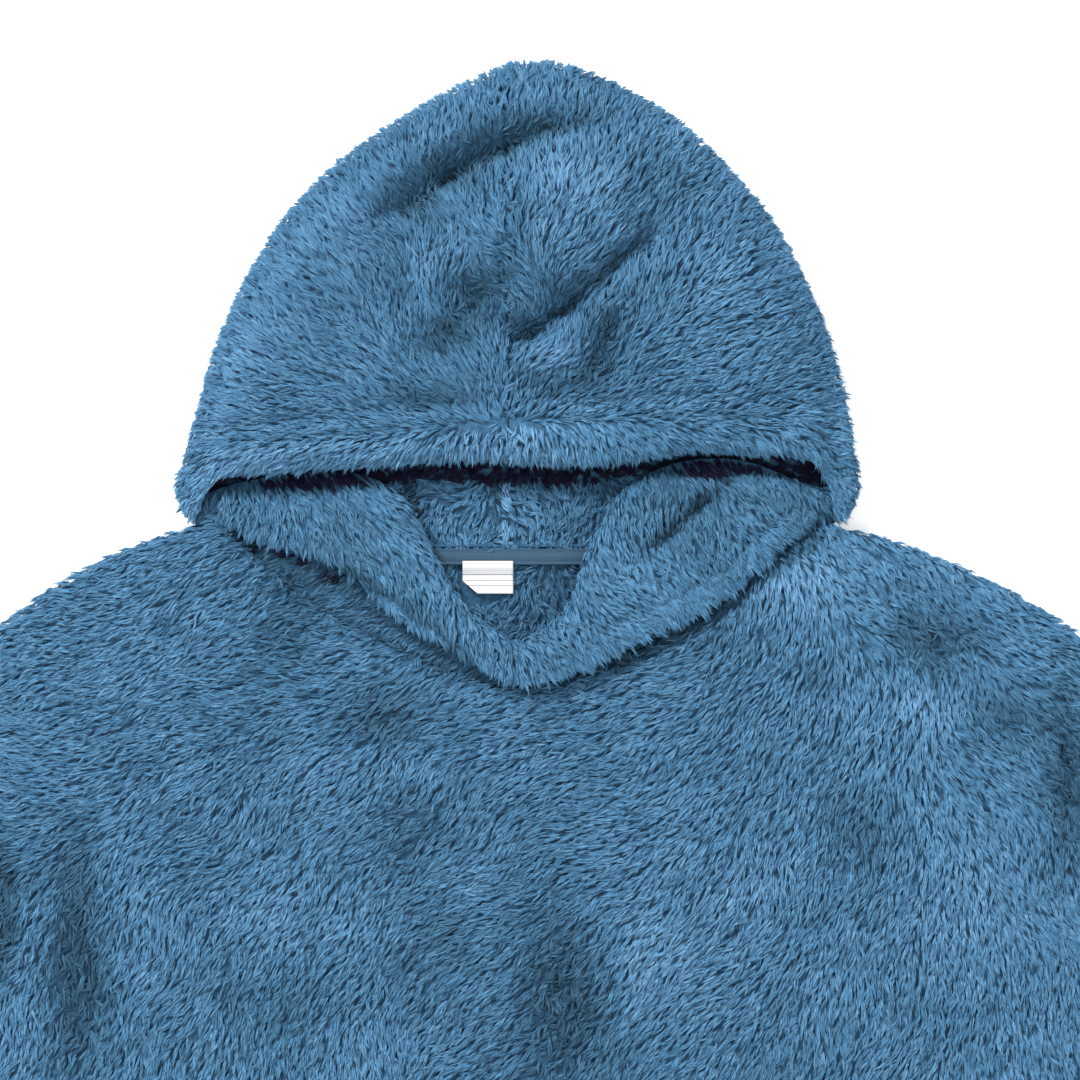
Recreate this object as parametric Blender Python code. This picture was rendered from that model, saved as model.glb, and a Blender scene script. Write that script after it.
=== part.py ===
"""Hooded plush sweater laid flat on its back, the hood opened out above the neck.

Each cut piece is one closed solid: a wall of plush cloth, pile included, between an
outer and an inner grid of points. Sizes are millimetres until the mesh is written.
X runs to the viewer's right, Y towards the crown of the hood, Z up from the table.
Y is 0 at the shoulder end of the neckline until everything is set on the origin.
"""

from collections import namedtuple

import bmesh
import bpy
import numpy as np

MM = 0.001

# Cloth
WALL = 6.0  # knit ground with the pile of both faces
SEAM = 0.3  # between two pieces at a seam
LAYER = 0.4  # between two layers that lie on each other
FRONT_LOW = WALL + LAYER
FRONT_TOP = FRONT_LOW + WALL
BODY_LOFT = 3.0  # air under the middle of the front
EDGE_INSETS = (0.0, 2.0, 6.0)  # rows that round an edge off
EDGE_DROPS = (4.0, 1.2, 0.0)  # on the upper side
EDGE_RISES = (2.0, 0.5, 0.0)  # on the underside
EDGE_FLAT = (1.0, 1.0, 0.7)  # how far the folds die out there

# Body
BODY_SHIFT = 8.0  # the body lies this far right of the neck
HALF_CHEST = 270.0
HALF_HEM = 278.0
HEM_Y = -700.0
UNDERARM_Y = -285.0
HEM_DEPTH = 28.0
HEM_FURROW = 2.0  # along the stitching
NECK_HALF = 150.0
Station = namedtuple("Station", "x y")
FRONT_NECK = [  # half of the front neckline, from the centre out
    Station(0.2, -80.0), Station(18, -77), Station(36, -70.5), Station(54, -62.5),
    Station(70, -54.5), Station(90, -45), Station(110, -33), Station(132, -11),
    Station(NECK_HALF, 3),
]
BACK_NECK = [Station(0, -8), Station(100, -8), Station(NECK_HALF, 3)]
SHOULDER = [
    Station(NECK_HALF, 3), Station(168, 2), Station(190, -4), Station(212, -13),
    Station(240, -28), Station(HALF_CHEST, -48),
]

# Soft folds: a ridge or trough along a straight stretch, in the garment's own place
Fold = namedtuple("Fold", "x0 y0 x1 y1 width height")
BODY_FOLDS = [
    Fold(16, -185, 30, -300, 17, -4.5), Fold(30, -300, 22, -430, 22, -3.5),
    Fold(-16, -215, -24, -330, 26, 2.5), Fold(66, -210, 74, -380, 28, 3.0),
    Fold(-222, -165, -212, -290, 14, -4.5), Fold(-212, -290, -190, -470, 20, -3.0),
    Fold(-184, -175, -160, -250, 20, 4.0), Fold(-160, -250, -146, -400, 24, 3.0),
    Fold(-85, -92, -50, -98, 15, -2.5), Fold(-48, -140, -44, -205, 18, -2.5),
    Fold(196, -48, 228, -68, 13, -3.5), Fold(236, -88, 246, -140, 16, -3.0),
    Fold(150, -120, 182, -170, 20, -2.5), Fold(214, -110, 196, -200, 24, 3.0),
    Fold(250, -300, 120, -420, 20, 3.5), Fold(252, -322, 130, -452, 14, -3.0),
    Fold(-238, -310, -128, -450, 20, 3.5), Fold(-240, -332, -140, -482, 14, -3.0),
    Fold(-70, -520, -84, -690, 24, 3.5), Fold(-30, -560, -36, -690, 18, -2.5),
    Fold(92, -500, 112, -690, 26, 4.0), Fold(148, -540, 160, -690, 18, -2.5),
    Fold(206, -560, 218, -690, 22, 3.0), Fold(-190, -540, -206, -690, 22, 3.0),
]
SLEEVE_FOLDS = [
    Fold(300, -285, 352, -150, 16, 3.5), Fold(330, -310, 392, -200, 13, -2.5),
    Fold(362, -345, 430, -230, 16, 3.0), Fold(400, -372, 466, -290, 12, -2.5),
    Fold(428, -410, 512, -345, 15, 3.0), Fold(300, -120, 350, -170, 14, -2.0),
]
CROWN_FOLDS = [
    Fold(-64, 155, -34, 177, 9, -6.0), Fold(-34, 177, 22, 205, 8, -6.5),
    Fold(22, 205, 54, 212, 8, -4.0), Fold(38, 172, 46, 176, 24, 6.0),
    Fold(8, 146, 18, 138, 21, 6.0), Fold(-26, 116, 6, 99, 11, -6.5),
    Fold(-60, 132, -56, 126, 14, -4.0), Fold(-42, 94, -34, 84, 16, -4.0),
    Fold(2, 95, 24, 109, 7, -6.5), Fold(24, 109, 64, 144, 7, -6.0),
    Fold(10, 69, 42, 85, 10, -4.5), Fold(42, 85, 52, 106, 9, -4.0),
    Fold(70, 90, 96, 112, 22, 2.5), Fold(-112, 92, -88, 128, 26, 2.5),
]

# Sleeve: its top fold and its underarm seam, as distances from the body's centre
SleeveRow = namedtuple("SleeveRow", "top_x top_y under_x under_y")
SLEEVE = [
    SleeveRow(270, -48, 270, -285), SleeveRow(330, -94, 300, -316),
    SleeveRow(400, -168, 345, -359), SleeveRow(470, -258, 393, -407),
    SleeveRow(535, -345, 441, -454), SleeveRow(594, -424, 490, -502),
]
SLEEVE_STEPS = 3  # sections between two rows
SLEEVE_REACHES = (0.14, 0.43, 0.74, 1.0)  # points across half a layer, from its edge

# Hood: one section a row, from the centre seam round to the shoulder.
# The wall runs from the neck seam under the crown to the outline, and back over it to the lip.
HoodRow = namedtuple("HoodRow", "neck_x outline_x outline_y lip_x lip_y")
CROWN_SEAM_X = -4.0
HOOD_LEFT = [
    HoodRow(CROWN_SEAM_X - SEAM / 2, CROWN_SEAM_X - SEAM / 2, 235, CROWN_SEAM_X - SEAM / 2, 29),
    HoodRow(-28, -38.5, 219, -25, 27.5),
    HoodRow(-50, -66, 202.5, -42, 26), HoodRow(-68, -93.5, 182.5, -60, 25),
    HoodRow(-84, -116, 159, -78, 23.5), HoodRow(-100, -136, 127.5, -98, 21.5),
    HoodRow(-115, -151, 95, -116, 20), HoodRow(-128, -160, 65, -131, 19),
    HoodRow(-138, -166.5, 42, -143, 18.5), HoodRow(-145, -170.5, 30, -150, 18),
    HoodRow(-150, -172.5, 20, -154.5, 17), HoodRow(-153, -167, 7.5, -157, 11),
]
HOOD_RIGHT = [
    HoodRow(CROWN_SEAM_X + SEAM / 2, CROWN_SEAM_X + SEAM / 2, 235, CROWN_SEAM_X + SEAM / 2, 29),
    HoodRow(16, 21.5, 235, 18, 30),
    HoodRow(38, 51.5, 224, 38, 30.5), HoodRow(60, 81.5, 206, 60, 31),
    HoodRow(80, 106.5, 182.5, 80, 32), HoodRow(100, 129, 155, 100, 33),
    HoodRow(114, 146.5, 122.5, 118, 33.5), HoodRow(126, 157.5, 95, 131, 33),
    HoodRow(136, 165.5, 65, 143, 30), HoodRow(144, 169.5, 45, 151, 26),
    HoodRow(150, 172.5, 23, 155, 19), HoodRow(153, 167, 7.5, 157, 11),
]
ROLL = 10.0  # how far in the crown's edge rolls
ROLL_TOP = 17.0
CROWN_TOP = 25.5
CROWN_RISE = 22.0  # from the roll to the crown's full height
CROWN_FOLD_START = 40.0  # the folds reach full depth this far from the roll
ROLL_ANGLES = (-60, -25, 10, 48, 90)
LOW_SHARES = (0.0, 0.33, 0.67, 1.0)  # points along the layer under the crown
TOP_SHARES = (0.82, 0.64, 0.46, 0.3, 0.15)  # and over it, between the roll and the hem
HOOD_HEM = 25.0
LIP_INSETS = (HOOD_HEM + 7, HOOD_HEM, HOOD_HEM - 7, 8.0, 3.0, 0.0)
LIP_DROPS = (0.0, HEM_FURROW, 0.5, 0.0, 1.2, 4.0)
LIP_EDGE = 1.5  # thickness left at the rounded lip

# Hood fronts turned out over the neck seam. Row by row from the centre front: the neck
# seam's station, the fold along the mouth, the free edge that lies on the front, the height.
TurnRow = namedtuple("TurnRow", "neck_x fold_x fold_y edge_x edge_y top")
TURN_LEFT = [
    TurnRow(-0.2, -0.4, -54, -0.3, -77, 20), TurnRow(-18, -18.5, -44, -20, -69.5, 21),
    TurnRow(-36, -31, -30, -38, -58.5, 22), TurnRow(-54, -43.5, -9, -54, -49.5, 22.5),
    TurnRow(-70, -54, 10, -68.5, -40, 22.5), TurnRow(-90, -66, 26, -88.5, -22.5, 21),
    TurnRow(-110, -90, 33, -108, -11, 18.4), TurnRow(-132, -118, 31, -134, -4, 18),
    TurnRow(-150, -141, 26, -151, 6, 16.5), TurnRow(-161, -160, 20, -162, 10, 15),
]
TURN_RIGHT = [
    TurnRow(0.2, 0.4, -54, 0.3, -78, 23), TurnRow(18, 15, -46, 18, -75.5, 24),
    TurnRow(36, 26.5, -33, 36, -69, 24), TurnRow(54, 34, -12.5, 54, -61, 23.5),
    TurnRow(70, 41.5, 5, 70, -53, 23), TurnRow(90, 54, 24, 90, -43.5, 22),
    TurnRow(110, 80, 37, 110, -31.5, 18.4), TurnRow(132, 112, 38, 131, -9.5, 18),
    TurnRow(150, 141, 27, 150, 6, 16.5), TurnRow(161, 160, 20, 162, 10, 16),
]
TURN_LOW = 8.8  # underside, clear of the tape
# Across a turned-out front, from the neck seam: what it is measured from, its height over
# the ledge, which is level with the body's front, or below the top, and its underside.
TurnPoint = namedtuple("TurnPoint", "near_edge near_fold over_ledge below_top low")
LEDGE_TOP = FRONT_TOP
TURN_POINTS = [
    TurnPoint(-1.0, None, -3.4, None, FRONT_LOW), TurnPoint(-0.5, None, -0.4, None, FRONT_LOW),
    TurnPoint(0.0, None, 0.0, None, FRONT_LOW + 1.0), TurnPoint(1.2, None, 3.0, None, FRONT_LOW + 1.2),
    TurnPoint(4.0, None, None, 1.5, FRONT_LOW + 1.6), TurnPoint(9.0, None, None, 0.0, TURN_LOW),
    TurnPoint(None, 12.0, None, 0.0, TURN_LOW), TurnPoint(None, 5.0, None, 1.8, TURN_LOW),
    TurnPoint(None, 1.5, None, 5.0, TURN_LOW + 0.8), TurnPoint(None, 0.0, 1.6, None, 11.0),
]
TURN_CROWN = 0.8  # how much higher its middle is
CORNER_Y = 8.0  # where the turned-out front starts, inside the crown's corner

# Neck tape and label, on the inside of the back
TAPE_HALF = 78.0
TAPE_TOP_Y = -9.5
TAPE_WIDTH = 8.0
TAPE_THICK = 1.5
LABEL_X = -27.5
LABEL_WIDTH = 25.5
LABEL_TOP_Y = -15.5
LABEL_LENGTH = 16.5
LABEL_THICK = 0.6
LABEL_LIFT = 1.3  # at its free end

COLOURS = {
    "plush": (0.068, 0.212, 0.402, 1.0),
    "tape": (0.055, 0.175, 0.33, 1.0),
    "label": (0.85, 0.86, 0.88, 1.0),
}


def clear_scene():
    for old in list(bpy.data.objects):
        bpy.data.objects.remove(old, do_unlink=True)


def material(name, colour, roughness):
    made = bpy.data.materials.new(name)
    made.use_nodes = True
    shader = made.node_tree.nodes["Principled BSDF"]
    shader.inputs["Base Color"].default_value = colour
    shader.inputs["Roughness"].default_value = roughness
    shader.inputs["Metallic"].default_value = 0.0
    return made


def sheet_solid(name, outer, inner, colour, wrap=False):
    """The closed wall between two grids of points. A wrapped one is a tube across its rows."""
    rows, cols = outer.shape[:2]
    spans = cols if wrap else cols - 1

    def at(side, row, col):
        return (side * rows + row) * cols + col % cols

    faces = []
    for row in range(rows - 1):
        for col in range(spans):
            for side in (0, 1):
                faces.append([at(side, row, col), at(side, row, col + 1),
                              at(side, row + 1, col + 1), at(side, row + 1, col)])
    for row in (0, rows - 1):
        for col in range(spans):
            faces.append([at(0, row, col), at(0, row, col + 1), at(1, row, col + 1), at(1, row, col)])
    if not wrap:
        for col in (0, cols - 1):
            for row in range(rows - 1):
                faces.append([at(0, row, col), at(0, row + 1, col), at(1, row + 1, col), at(1, row, col)])
    points = np.concatenate([outer.reshape(-1, 3), inner.reshape(-1, 3)]) * MM
    mesh = bpy.data.meshes.new(name)
    mesh.from_pydata(points.tolist(), [], faces)
    shape = bmesh.new()
    shape.from_mesh(mesh)
    bmesh.ops.recalc_face_normals(shape, faces=shape.faces)
    shape.to_mesh(mesh)
    shape.free()
    mesh.shade_smooth()
    mesh.set_sharp_from_angle(angle=np.radians(50))
    mesh.materials.append(material(name + "_cloth", COLOURS[colour], 0.95))
    made = bpy.data.objects.new(name, mesh)
    bpy.context.scene.collection.objects.link(made)
    return made


def smoothstep(value):
    value = np.clip(value, 0.0, 1.0)
    return value * value * (3 - 2 * value)


def relief(folds, x, y):
    """The summed height of the soft folds at each point."""
    total = np.zeros_like(x)
    for fold in folds:
        along = np.array([fold.x1 - fold.x0, fold.y1 - fold.y0])
        reach = ((x - fold.x0) * along[0] + (y - fold.y0) * along[1]) / (along @ along)
        reach = np.clip(reach, 0, 1)
        away = (x - fold.x0 - reach * along[0]) ** 2 + (y - fold.y0 - reach * along[1]) ** 2
        total = total + fold.height * np.exp(-away / fold.width**2)
    return total


def along_line(stations, x):
    """Height of a half outline at a distance from the centre."""
    return np.interp(abs(x), [s.x for s in stations], [s.y for s in stations])


def body_columns(neck, spacing):
    """Distances from the centre: the neck's stations, then the shoulder's, then the edge's."""
    half = [s.x for s in neck if s.x > 0.5] + [s.x for s in SHOULDER[1:-1]][::spacing]
    half += [HALF_CHEST - inset for inset in reversed(EDGE_INSETS)]
    return np.array([-x for x in reversed(half)] + [0.0] + half)


def body_grid(neck, spacing, rows):
    """Plan of a body panel: columns from the hem, which leans right, up to neck and shoulders."""
    across = body_columns(neck, spacing)
    tops = [along_line(neck if abs(x) <= NECK_HALF else SHOULDER, x) for x in across]
    edge = np.array(EDGE_INSETS)
    grid = []
    for x, top in zip(across, tops):
        length = top - HEM_Y
        inside = np.linspace(edge[-1], length - edge[-1], rows)
        along = np.concatenate([edge[:-1], inside, length - edge[-2::-1]]) / length
        y = HEM_Y + along * length
        wide = np.interp(y, [HEM_Y, UNDERARM_Y], [HALF_HEM, HALF_CHEST])
        beside_neck = smoothstep((abs(x) - NECK_HALF) / (HALF_CHEST - NECK_HALF))
        lean = BODY_SHIFT * np.maximum(beside_neck, 1 - along)
        grid.append(np.stack([x / HALF_CHEST * wide + lean, y], axis=-1))
    return np.array(grid).transpose(1, 0, 2)


def edge_profile(count, values):
    """A value for each row or column: the edge's own values at both ends, nothing between."""
    profile = np.zeros(count)
    profile[: len(values)] = values
    profile[count - len(values):] = values[::-1]
    return profile


def around_edges(rows, cols, values):
    """The edge values along all four sides of a grid."""
    return np.maximum.outer(edge_profile(rows, values), edge_profile(cols, values))


def with_height(plan, z):
    return np.concatenate([plan, z[..., None]], axis=-1)


def body_front():
    plan = body_grid(FRONT_NECK, 1, 22)
    x, y = plan[..., 0], plan[..., 1]
    rows, cols = x.shape
    loft = (BODY_LOFT + relief(BODY_FOLDS, x, y)) * (1 - around_edges(rows, cols, EDGE_FLAT))
    hem = -HEM_FURROW * np.exp(-(((y - HEM_Y - HEM_DEPTH) / 6.0) ** 2))
    top = FRONT_TOP + loft + hem - around_edges(rows, cols, EDGE_DROPS)
    low = FRONT_LOW + np.maximum(loft, 0)
    return sheet_solid("body_front", with_height(plan, top), with_height(plan, low), "plush")


def body_back():
    plan = body_grid(BACK_NECK, 2, 9)
    rows, cols = plan.shape[:2]
    low = around_edges(rows, cols, EDGE_RISES)
    top = np.full((rows, cols), WALL)
    return sheet_solid("body_back", with_height(plan, top), with_height(plan, low), "plush")


def sleeve_rows():
    """Sections along the sleeve, smoothly between the table's rows."""
    table = np.array(SLEEVE, float)
    count = (len(table) - 1) * SLEEVE_STEPS + 1
    place = np.linspace(0, len(table) - 1, count)
    padded = np.vstack([2 * table[0] - table[1], table, 2 * table[-1] - table[-2]])
    rows = []
    for value in place:
        first = min(int(value), len(table) - 2)
        t = value - first
        a, b, c, d = padded[first: first + 4]
        rows.append(0.5 * (2 * b + (c - a) * t + (2 * a - 5 * b + 4 * c - d) * t**2
                           + (3 * b - a - 3 * c + d) * t**3))
    rows[0] = rows[0] + np.array([SEAM, 0, SEAM, 0])
    return rows


def sleeve(name, side):
    """A flattened tube: the fold along the top of the arm, the seam under it."""
    outer_rows, inner_rows = [], []
    for row in sleeve_rows():
        top = np.array(row[:2])
        under = np.array(row[2:])
        width = np.linalg.norm(under - top)
        across = (under - top) / width
        half = width / 2
        steps = np.concatenate([EDGE_INSETS, WALL + (half - WALL) * np.array(SLEEVE_REACHES)])
        insets = np.concatenate([WALL + 0.4 * np.array(EDGE_INSETS), steps[len(EDGE_INSETS):]])
        steps = np.concatenate([steps, width - steps[-2::-1]])
        insets = np.concatenate([insets, width - insets[-2::-1]])
        drops = edge_profile(len(steps), EDGE_DROPS)
        line = top + steps[:, None] * across
        inner_line = top + insets[:, None] * across
        fold = relief(SLEEVE_FOLDS, line[:, 0], line[:, 1]) * (1 - edge_profile(len(steps), EDGE_FLAT))
        above = FRONT_TOP + fold - drops
        low = edge_profile(len(steps), EDGE_RISES)
        ceiling = FRONT_LOW + np.maximum(fold, 0)
        outer_rows.append(ring(line, above, low))
        inner_rows.append(ring(inner_line, ceiling, np.full(len(steps), WALL)))
    outer = np.array(outer_rows)
    inner = np.array(inner_rows)
    for grid in (outer, inner):
        grid[..., 0] = side * grid[..., 0] + BODY_SHIFT
    return sheet_solid(name, outer, inner, "plush", wrap=True)


def ring(line, above, below):
    """Once round a flattened tube: over the top layer and back along the lower one."""
    over = with_height(line, above)
    back = with_height(line[::-1], below[::-1])
    return np.concatenate([over, back])


def crown_section(row):
    """Outer and inner points of one hood section, from the neck seam round to the lip."""
    neck = np.array([row.neck_x, along_line(BACK_NECK, row.neck_x) + SEAM])
    outline = np.array([row.outline_x, row.outline_y])
    lip = np.array([row.lip_x, row.lip_y])
    low_length = np.linalg.norm(outline - neck)
    top_length = np.linalg.norm(lip - outline)
    low_way = (outline - neck) / low_length
    top_way = (outline - lip) / top_length
    roll = min(ROLL, 0.45 * min(low_length, top_length))
    wall_in = min(WALL, roll * 0.75)
    outer, inner = [], []
    for share in LOW_SHARES:
        place = neck + low_way * (low_length - roll) * share
        outer.append((*place, 0.0))
        inner.append((*place, WALL))
    for angle in np.radians(ROLL_ANGLES):
        turn = (angle + np.pi / 2) / np.pi
        way = low_way * (1 - turn) + top_way * turn
        way = way / np.linalg.norm(way)
        out = outline - way * roll * (1 - np.cos(angle))
        within = outline - way * (wall_in + (roll - wall_in) * (1 - np.cos(angle)))
        half = ROLL_TOP / 2
        outer.append((*out, half + half * np.sin(angle)))
        inner.append((*within, half + (half - WALL) * np.sin(angle)))
    lip_insets = np.minimum(LIP_INSETS, np.linspace(0.9, 0, len(LIP_INSETS)) * (top_length - roll))
    middle = top_length - roll - lip_insets[0]
    insets = np.concatenate([lip_insets[0] + middle * np.array(TOP_SHARES), lip_insets])
    drops = np.concatenate([np.zeros(len(TOP_SHARES)), LIP_DROPS])
    for inset, drop in zip(insets, drops):
        place = lip + top_way * inset
        away = top_length - inset - roll
        rise = ROLL_TOP + (CROWN_TOP - ROLL_TOP) * smoothstep(away / CROWN_RISE)
        top = rise + relief(CROWN_FOLDS, place[0], place[1]) * smoothstep(away / CROWN_FOLD_START)
        outer.append((*place, top - drop))
        inner.append((*place, min(top - WALL, top - drop - LIP_EDGE)))
    return np.array(outer), np.array(inner)


def turned_section(row):
    """Upper and lower points of one row of a turned-out front, from the neck seam to the fold."""
    seam_y = along_line(FRONT_NECK, row.neck_x) if abs(row.neck_x) <= NECK_HALF else CORNER_Y
    neck = np.array([row.neck_x, seam_y + 1.5 * SEAM])
    fold = np.array([row.fold_x, row.fold_y])
    width = np.linalg.norm(fold - neck)
    way = (fold - neck) / width
    ledge = np.clip((np.array([row.edge_x, row.edge_y]) - neck) @ way, 2.0, 0.5 * width)
    widest = ledge + max(p.near_edge or 0 for p in TURN_POINTS) + max(p.near_fold or 0 for p in TURN_POINTS)
    fit = min(1.0, (width - 2.0) / widest)
    points = []
    for point in TURN_POINTS:
        if point.near_edge is None:
            distance = width - fit * point.near_fold
        elif point.near_edge < 0:
            distance = fit * ledge * (1 + point.near_edge)
        else:
            distance = fit * (ledge + point.near_edge)
        top = row.top - point.below_top if point.over_ledge is None else LEDGE_TOP + point.over_ledge
        points.append((distance, top, point.low))
    middle = len(points) // 2 + 1
    between = (points[middle - 1][0] + points[middle][0]) / 2
    points.insert(middle, (between, row.top + TURN_CROWN, TURN_LOW))
    upper = [(*(neck + way * distance), top) for distance, top, low in points]
    lower = [(*(neck + way * distance), low) for distance, top, low in points]
    return np.array(upper), np.array(lower)


def hood_half(name, crown_rows, turn_rows):
    """The crown's folded wall with its turned-out front, in one piece."""
    sections = [crown_section(row) for row in crown_rows]
    outer = np.array([s[0] for s in sections])
    inner = np.array([s[1] for s in sections])
    crown = sheet_solid(name, outer, inner, "plush")
    turned = [turned_section(row) for row in turn_rows]
    upper = np.array([s[0] for s in turned])
    lower = np.array([s[1] for s in turned])
    front = sheet_solid(name + "_turned", upper, lower, "plush")
    front.hide_render = True
    front.display_type = "WIRE"
    join = crown.modifiers.new("turned front", "BOOLEAN")
    join.operation = "UNION"
    join.object = front
    return crown


def neck_tape():
    low = WALL + SEAM
    across = np.linspace(-TAPE_HALF, TAPE_HALF, 13)
    insets = np.array([0.0, 0.8, TAPE_WIDTH / 2, TAPE_WIDTH - 0.8, TAPE_WIDTH])
    x, y = np.meshgrid(across, TAPE_TOP_Y - insets)
    top = low + TAPE_THICK - 0.5 * np.array([1, 0, 0, 0, 1])[:, None] + 0 * x
    plan = np.stack([x, y], axis=-1)
    return sheet_solid("neck_tape", with_height(plan, top), with_height(plan, low + 0 * x), "tape")


def label():
    """Sewn on at the tape, lying on the back and lifting a little at its free end."""
    on_tape = WALL + SEAM + TAPE_THICK + SEAM
    on_back = WALL + 2 * SEAM
    distance = np.linspace(0, LABEL_LENGTH, 9)
    height = on_back + (on_tape - on_back) * (1 - smoothstep((distance - 3.0) / 4.0))
    height = height + LABEL_LIFT * smoothstep((distance - 9.0) / 7.5)
    x, y = np.meshgrid(LABEL_X + np.linspace(0, LABEL_WIDTH, 7), LABEL_TOP_Y - distance)
    plan = np.stack([x, y], axis=-1)
    low = height[:, None] + 0 * x
    return sheet_solid("label", with_height(plan, low + LABEL_THICK), with_height(plan, low), "label")


def set_on_origin(pieces):
    """Moves the garment so that the middle of its underside is the origin."""
    bpy.context.view_layer.update()
    points = np.array([v.co for piece in pieces for v in piece.data.vertices])
    middle = (points.min(axis=0) + points.max(axis=0)) / 2
    for piece in bpy.data.objects:
        piece.location = (-middle[0], -middle[1], 0)


def main():
    clear_scene()
    pieces = [
        body_back(),
        body_front(),
        sleeve("sleeve_left", -1),
        sleeve("sleeve_right", 1),
        hood_half("hood_left", HOOD_LEFT, TURN_LEFT),
        hood_half("hood_right", HOOD_RIGHT, TURN_RIGHT),
        neck_tape(),
        label(),
    ]
    set_on_origin(pieces)


main()
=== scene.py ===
"""Looks of the hooded plush sweater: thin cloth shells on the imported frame, under a modelled pile.

Sizes are millimetres in the garment's own place, as in the part's source: X to the viewer's
right, Y towards the crown of the hood, Z up from the table, and Y is 0 at the shoulder end of
the neckline. They become metres in the row frame when a mesh is written.
"""

from collections import namedtuple

import bpy
import numpy as np
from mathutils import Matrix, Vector


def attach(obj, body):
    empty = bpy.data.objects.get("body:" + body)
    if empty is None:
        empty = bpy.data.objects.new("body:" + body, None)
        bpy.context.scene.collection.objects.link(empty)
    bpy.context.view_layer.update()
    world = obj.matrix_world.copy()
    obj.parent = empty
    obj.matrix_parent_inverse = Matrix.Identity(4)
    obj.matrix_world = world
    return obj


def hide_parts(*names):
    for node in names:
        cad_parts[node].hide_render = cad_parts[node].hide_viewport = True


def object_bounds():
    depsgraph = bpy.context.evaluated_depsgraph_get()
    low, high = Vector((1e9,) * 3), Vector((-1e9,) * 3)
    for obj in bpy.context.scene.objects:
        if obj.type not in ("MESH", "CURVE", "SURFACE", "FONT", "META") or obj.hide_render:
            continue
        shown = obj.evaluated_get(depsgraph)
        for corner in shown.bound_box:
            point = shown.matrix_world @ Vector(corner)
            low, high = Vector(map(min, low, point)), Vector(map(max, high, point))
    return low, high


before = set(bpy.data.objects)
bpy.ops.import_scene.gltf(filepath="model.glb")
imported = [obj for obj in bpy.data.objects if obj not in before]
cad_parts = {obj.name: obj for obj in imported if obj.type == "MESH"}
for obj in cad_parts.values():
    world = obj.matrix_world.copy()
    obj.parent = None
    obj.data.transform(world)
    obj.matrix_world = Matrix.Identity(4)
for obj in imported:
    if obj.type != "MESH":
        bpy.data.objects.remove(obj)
CAD_LOW, CAD_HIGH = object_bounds()

MM = 0.001
SEED = 4107

# Cloth
WALL = 6.0  # knit ground with the pile of both faces
SEAM = 0.3
LAYER = 0.4
FRONT_LOW = WALL + LAYER
FRONT_TOP = FRONT_LOW + WALL
BODY_LOFT = 3.0
PILE_DEPTH = 2.8  # from the solid's outer face down to the knit ground
GROUND = 1.2  # thickness of the knit ground
EDGE_STEPS = (0.0, 0.4, 1.2, 2.4, 4.0, 6.0)  # where points lie beside an edge
EDGE_ROUND = 6.0
SEAM_GROOVE = 2.2  # where two panels meet flat
SEAM_REACH = 3.0
NECK_LAP = 3.5  # the grounds run this far under each other at the neck and the armholes
NECK_LAP_FADE = 20.0

# Body
BODY_SHIFT = 8.0
HALF_CHEST = 270.0
HALF_HEM = 278.0
HEM_Y = -700.0
UNDERARM_Y = -285.0
HEM_DEPTH = 28.0
HEM_GROOVE = 2.0  # depth of its stitched line
GROOVE_WIDTH = 4.0
NECK_HALF = 150.0


def rows_of(kind, rows):
    """A table whose rows have the columns of that kind."""
    return [kind(*row) for row in rows]


Station = namedtuple("Station", "x y")
FRONT_NECK = rows_of(Station, [
    (0.2, -80.0), (18, -77), (36, -70.5), (54, -62.5), (70, -54.5), (90, -45), (110, -33), (132, -11),
    (NECK_HALF, 3),
])
BACK_NECK = rows_of(Station, [(0, -8), (100, -8), (NECK_HALF, 3)])
SHOULDER = rows_of(Station, [
    (NECK_HALF, 3), (168, 2), (190, -4), (212, -13), (240, -28), (HALF_CHEST, -48),
])

# Soft folds: a ridge or trough along a straight stretch
Fold = namedtuple("Fold", "x0 y0 x1 y1 width height")
BODY_FOLDS = rows_of(Fold, [
    (16, -185, 30, -300, 17, -4.5), (30, -300, 22, -430, 22, -3.5), (-16, -215, -24, -330, 26, 2.5),
    (66, -210, 74, -380, 28, 3.0), (-222, -165, -212, -290, 14, -4.5),
    (-212, -290, -190, -470, 20, -3.0), (-184, -175, -160, -250, 20, 4.0),
    (-160, -250, -146, -400, 24, 3.0), (-85, -92, -50, -98, 15, -2.5), (-48, -140, -44, -205, 18, -2.5),
    (196, -48, 228, -68, 13, -3.5), (236, -88, 246, -140, 16, -3.0), (150, -120, 182, -170, 20, -2.5),
    (214, -110, 196, -200, 24, 3.0), (250, -300, 120, -420, 20, 3.5), (252, -322, 130, -452, 14, -3.0),
    (-238, -310, -128, -450, 20, 3.5), (-240, -332, -140, -482, 14, -3.0),
    (-70, -520, -84, -690, 24, 3.5), (-30, -560, -36, -690, 18, -2.5), (92, -500, 112, -690, 26, 4.0),
    (148, -540, 160, -690, 18, -2.5), (206, -560, 218, -690, 22, 3.0),
    (-190, -540, -206, -690, 22, 3.0),
])
SLEEVE_FOLDS = rows_of(Fold, [
    (300, -285, 352, -150, 16, 3.5), (330, -310, 392, -200, 13, -2.5), (362, -345, 430, -230, 16, 3.0),
    (400, -372, 466, -290, 12, -2.5), (428, -410, 512, -345, 15, 3.0), (300, -120, 350, -170, 14, -2.0),
])
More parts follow.
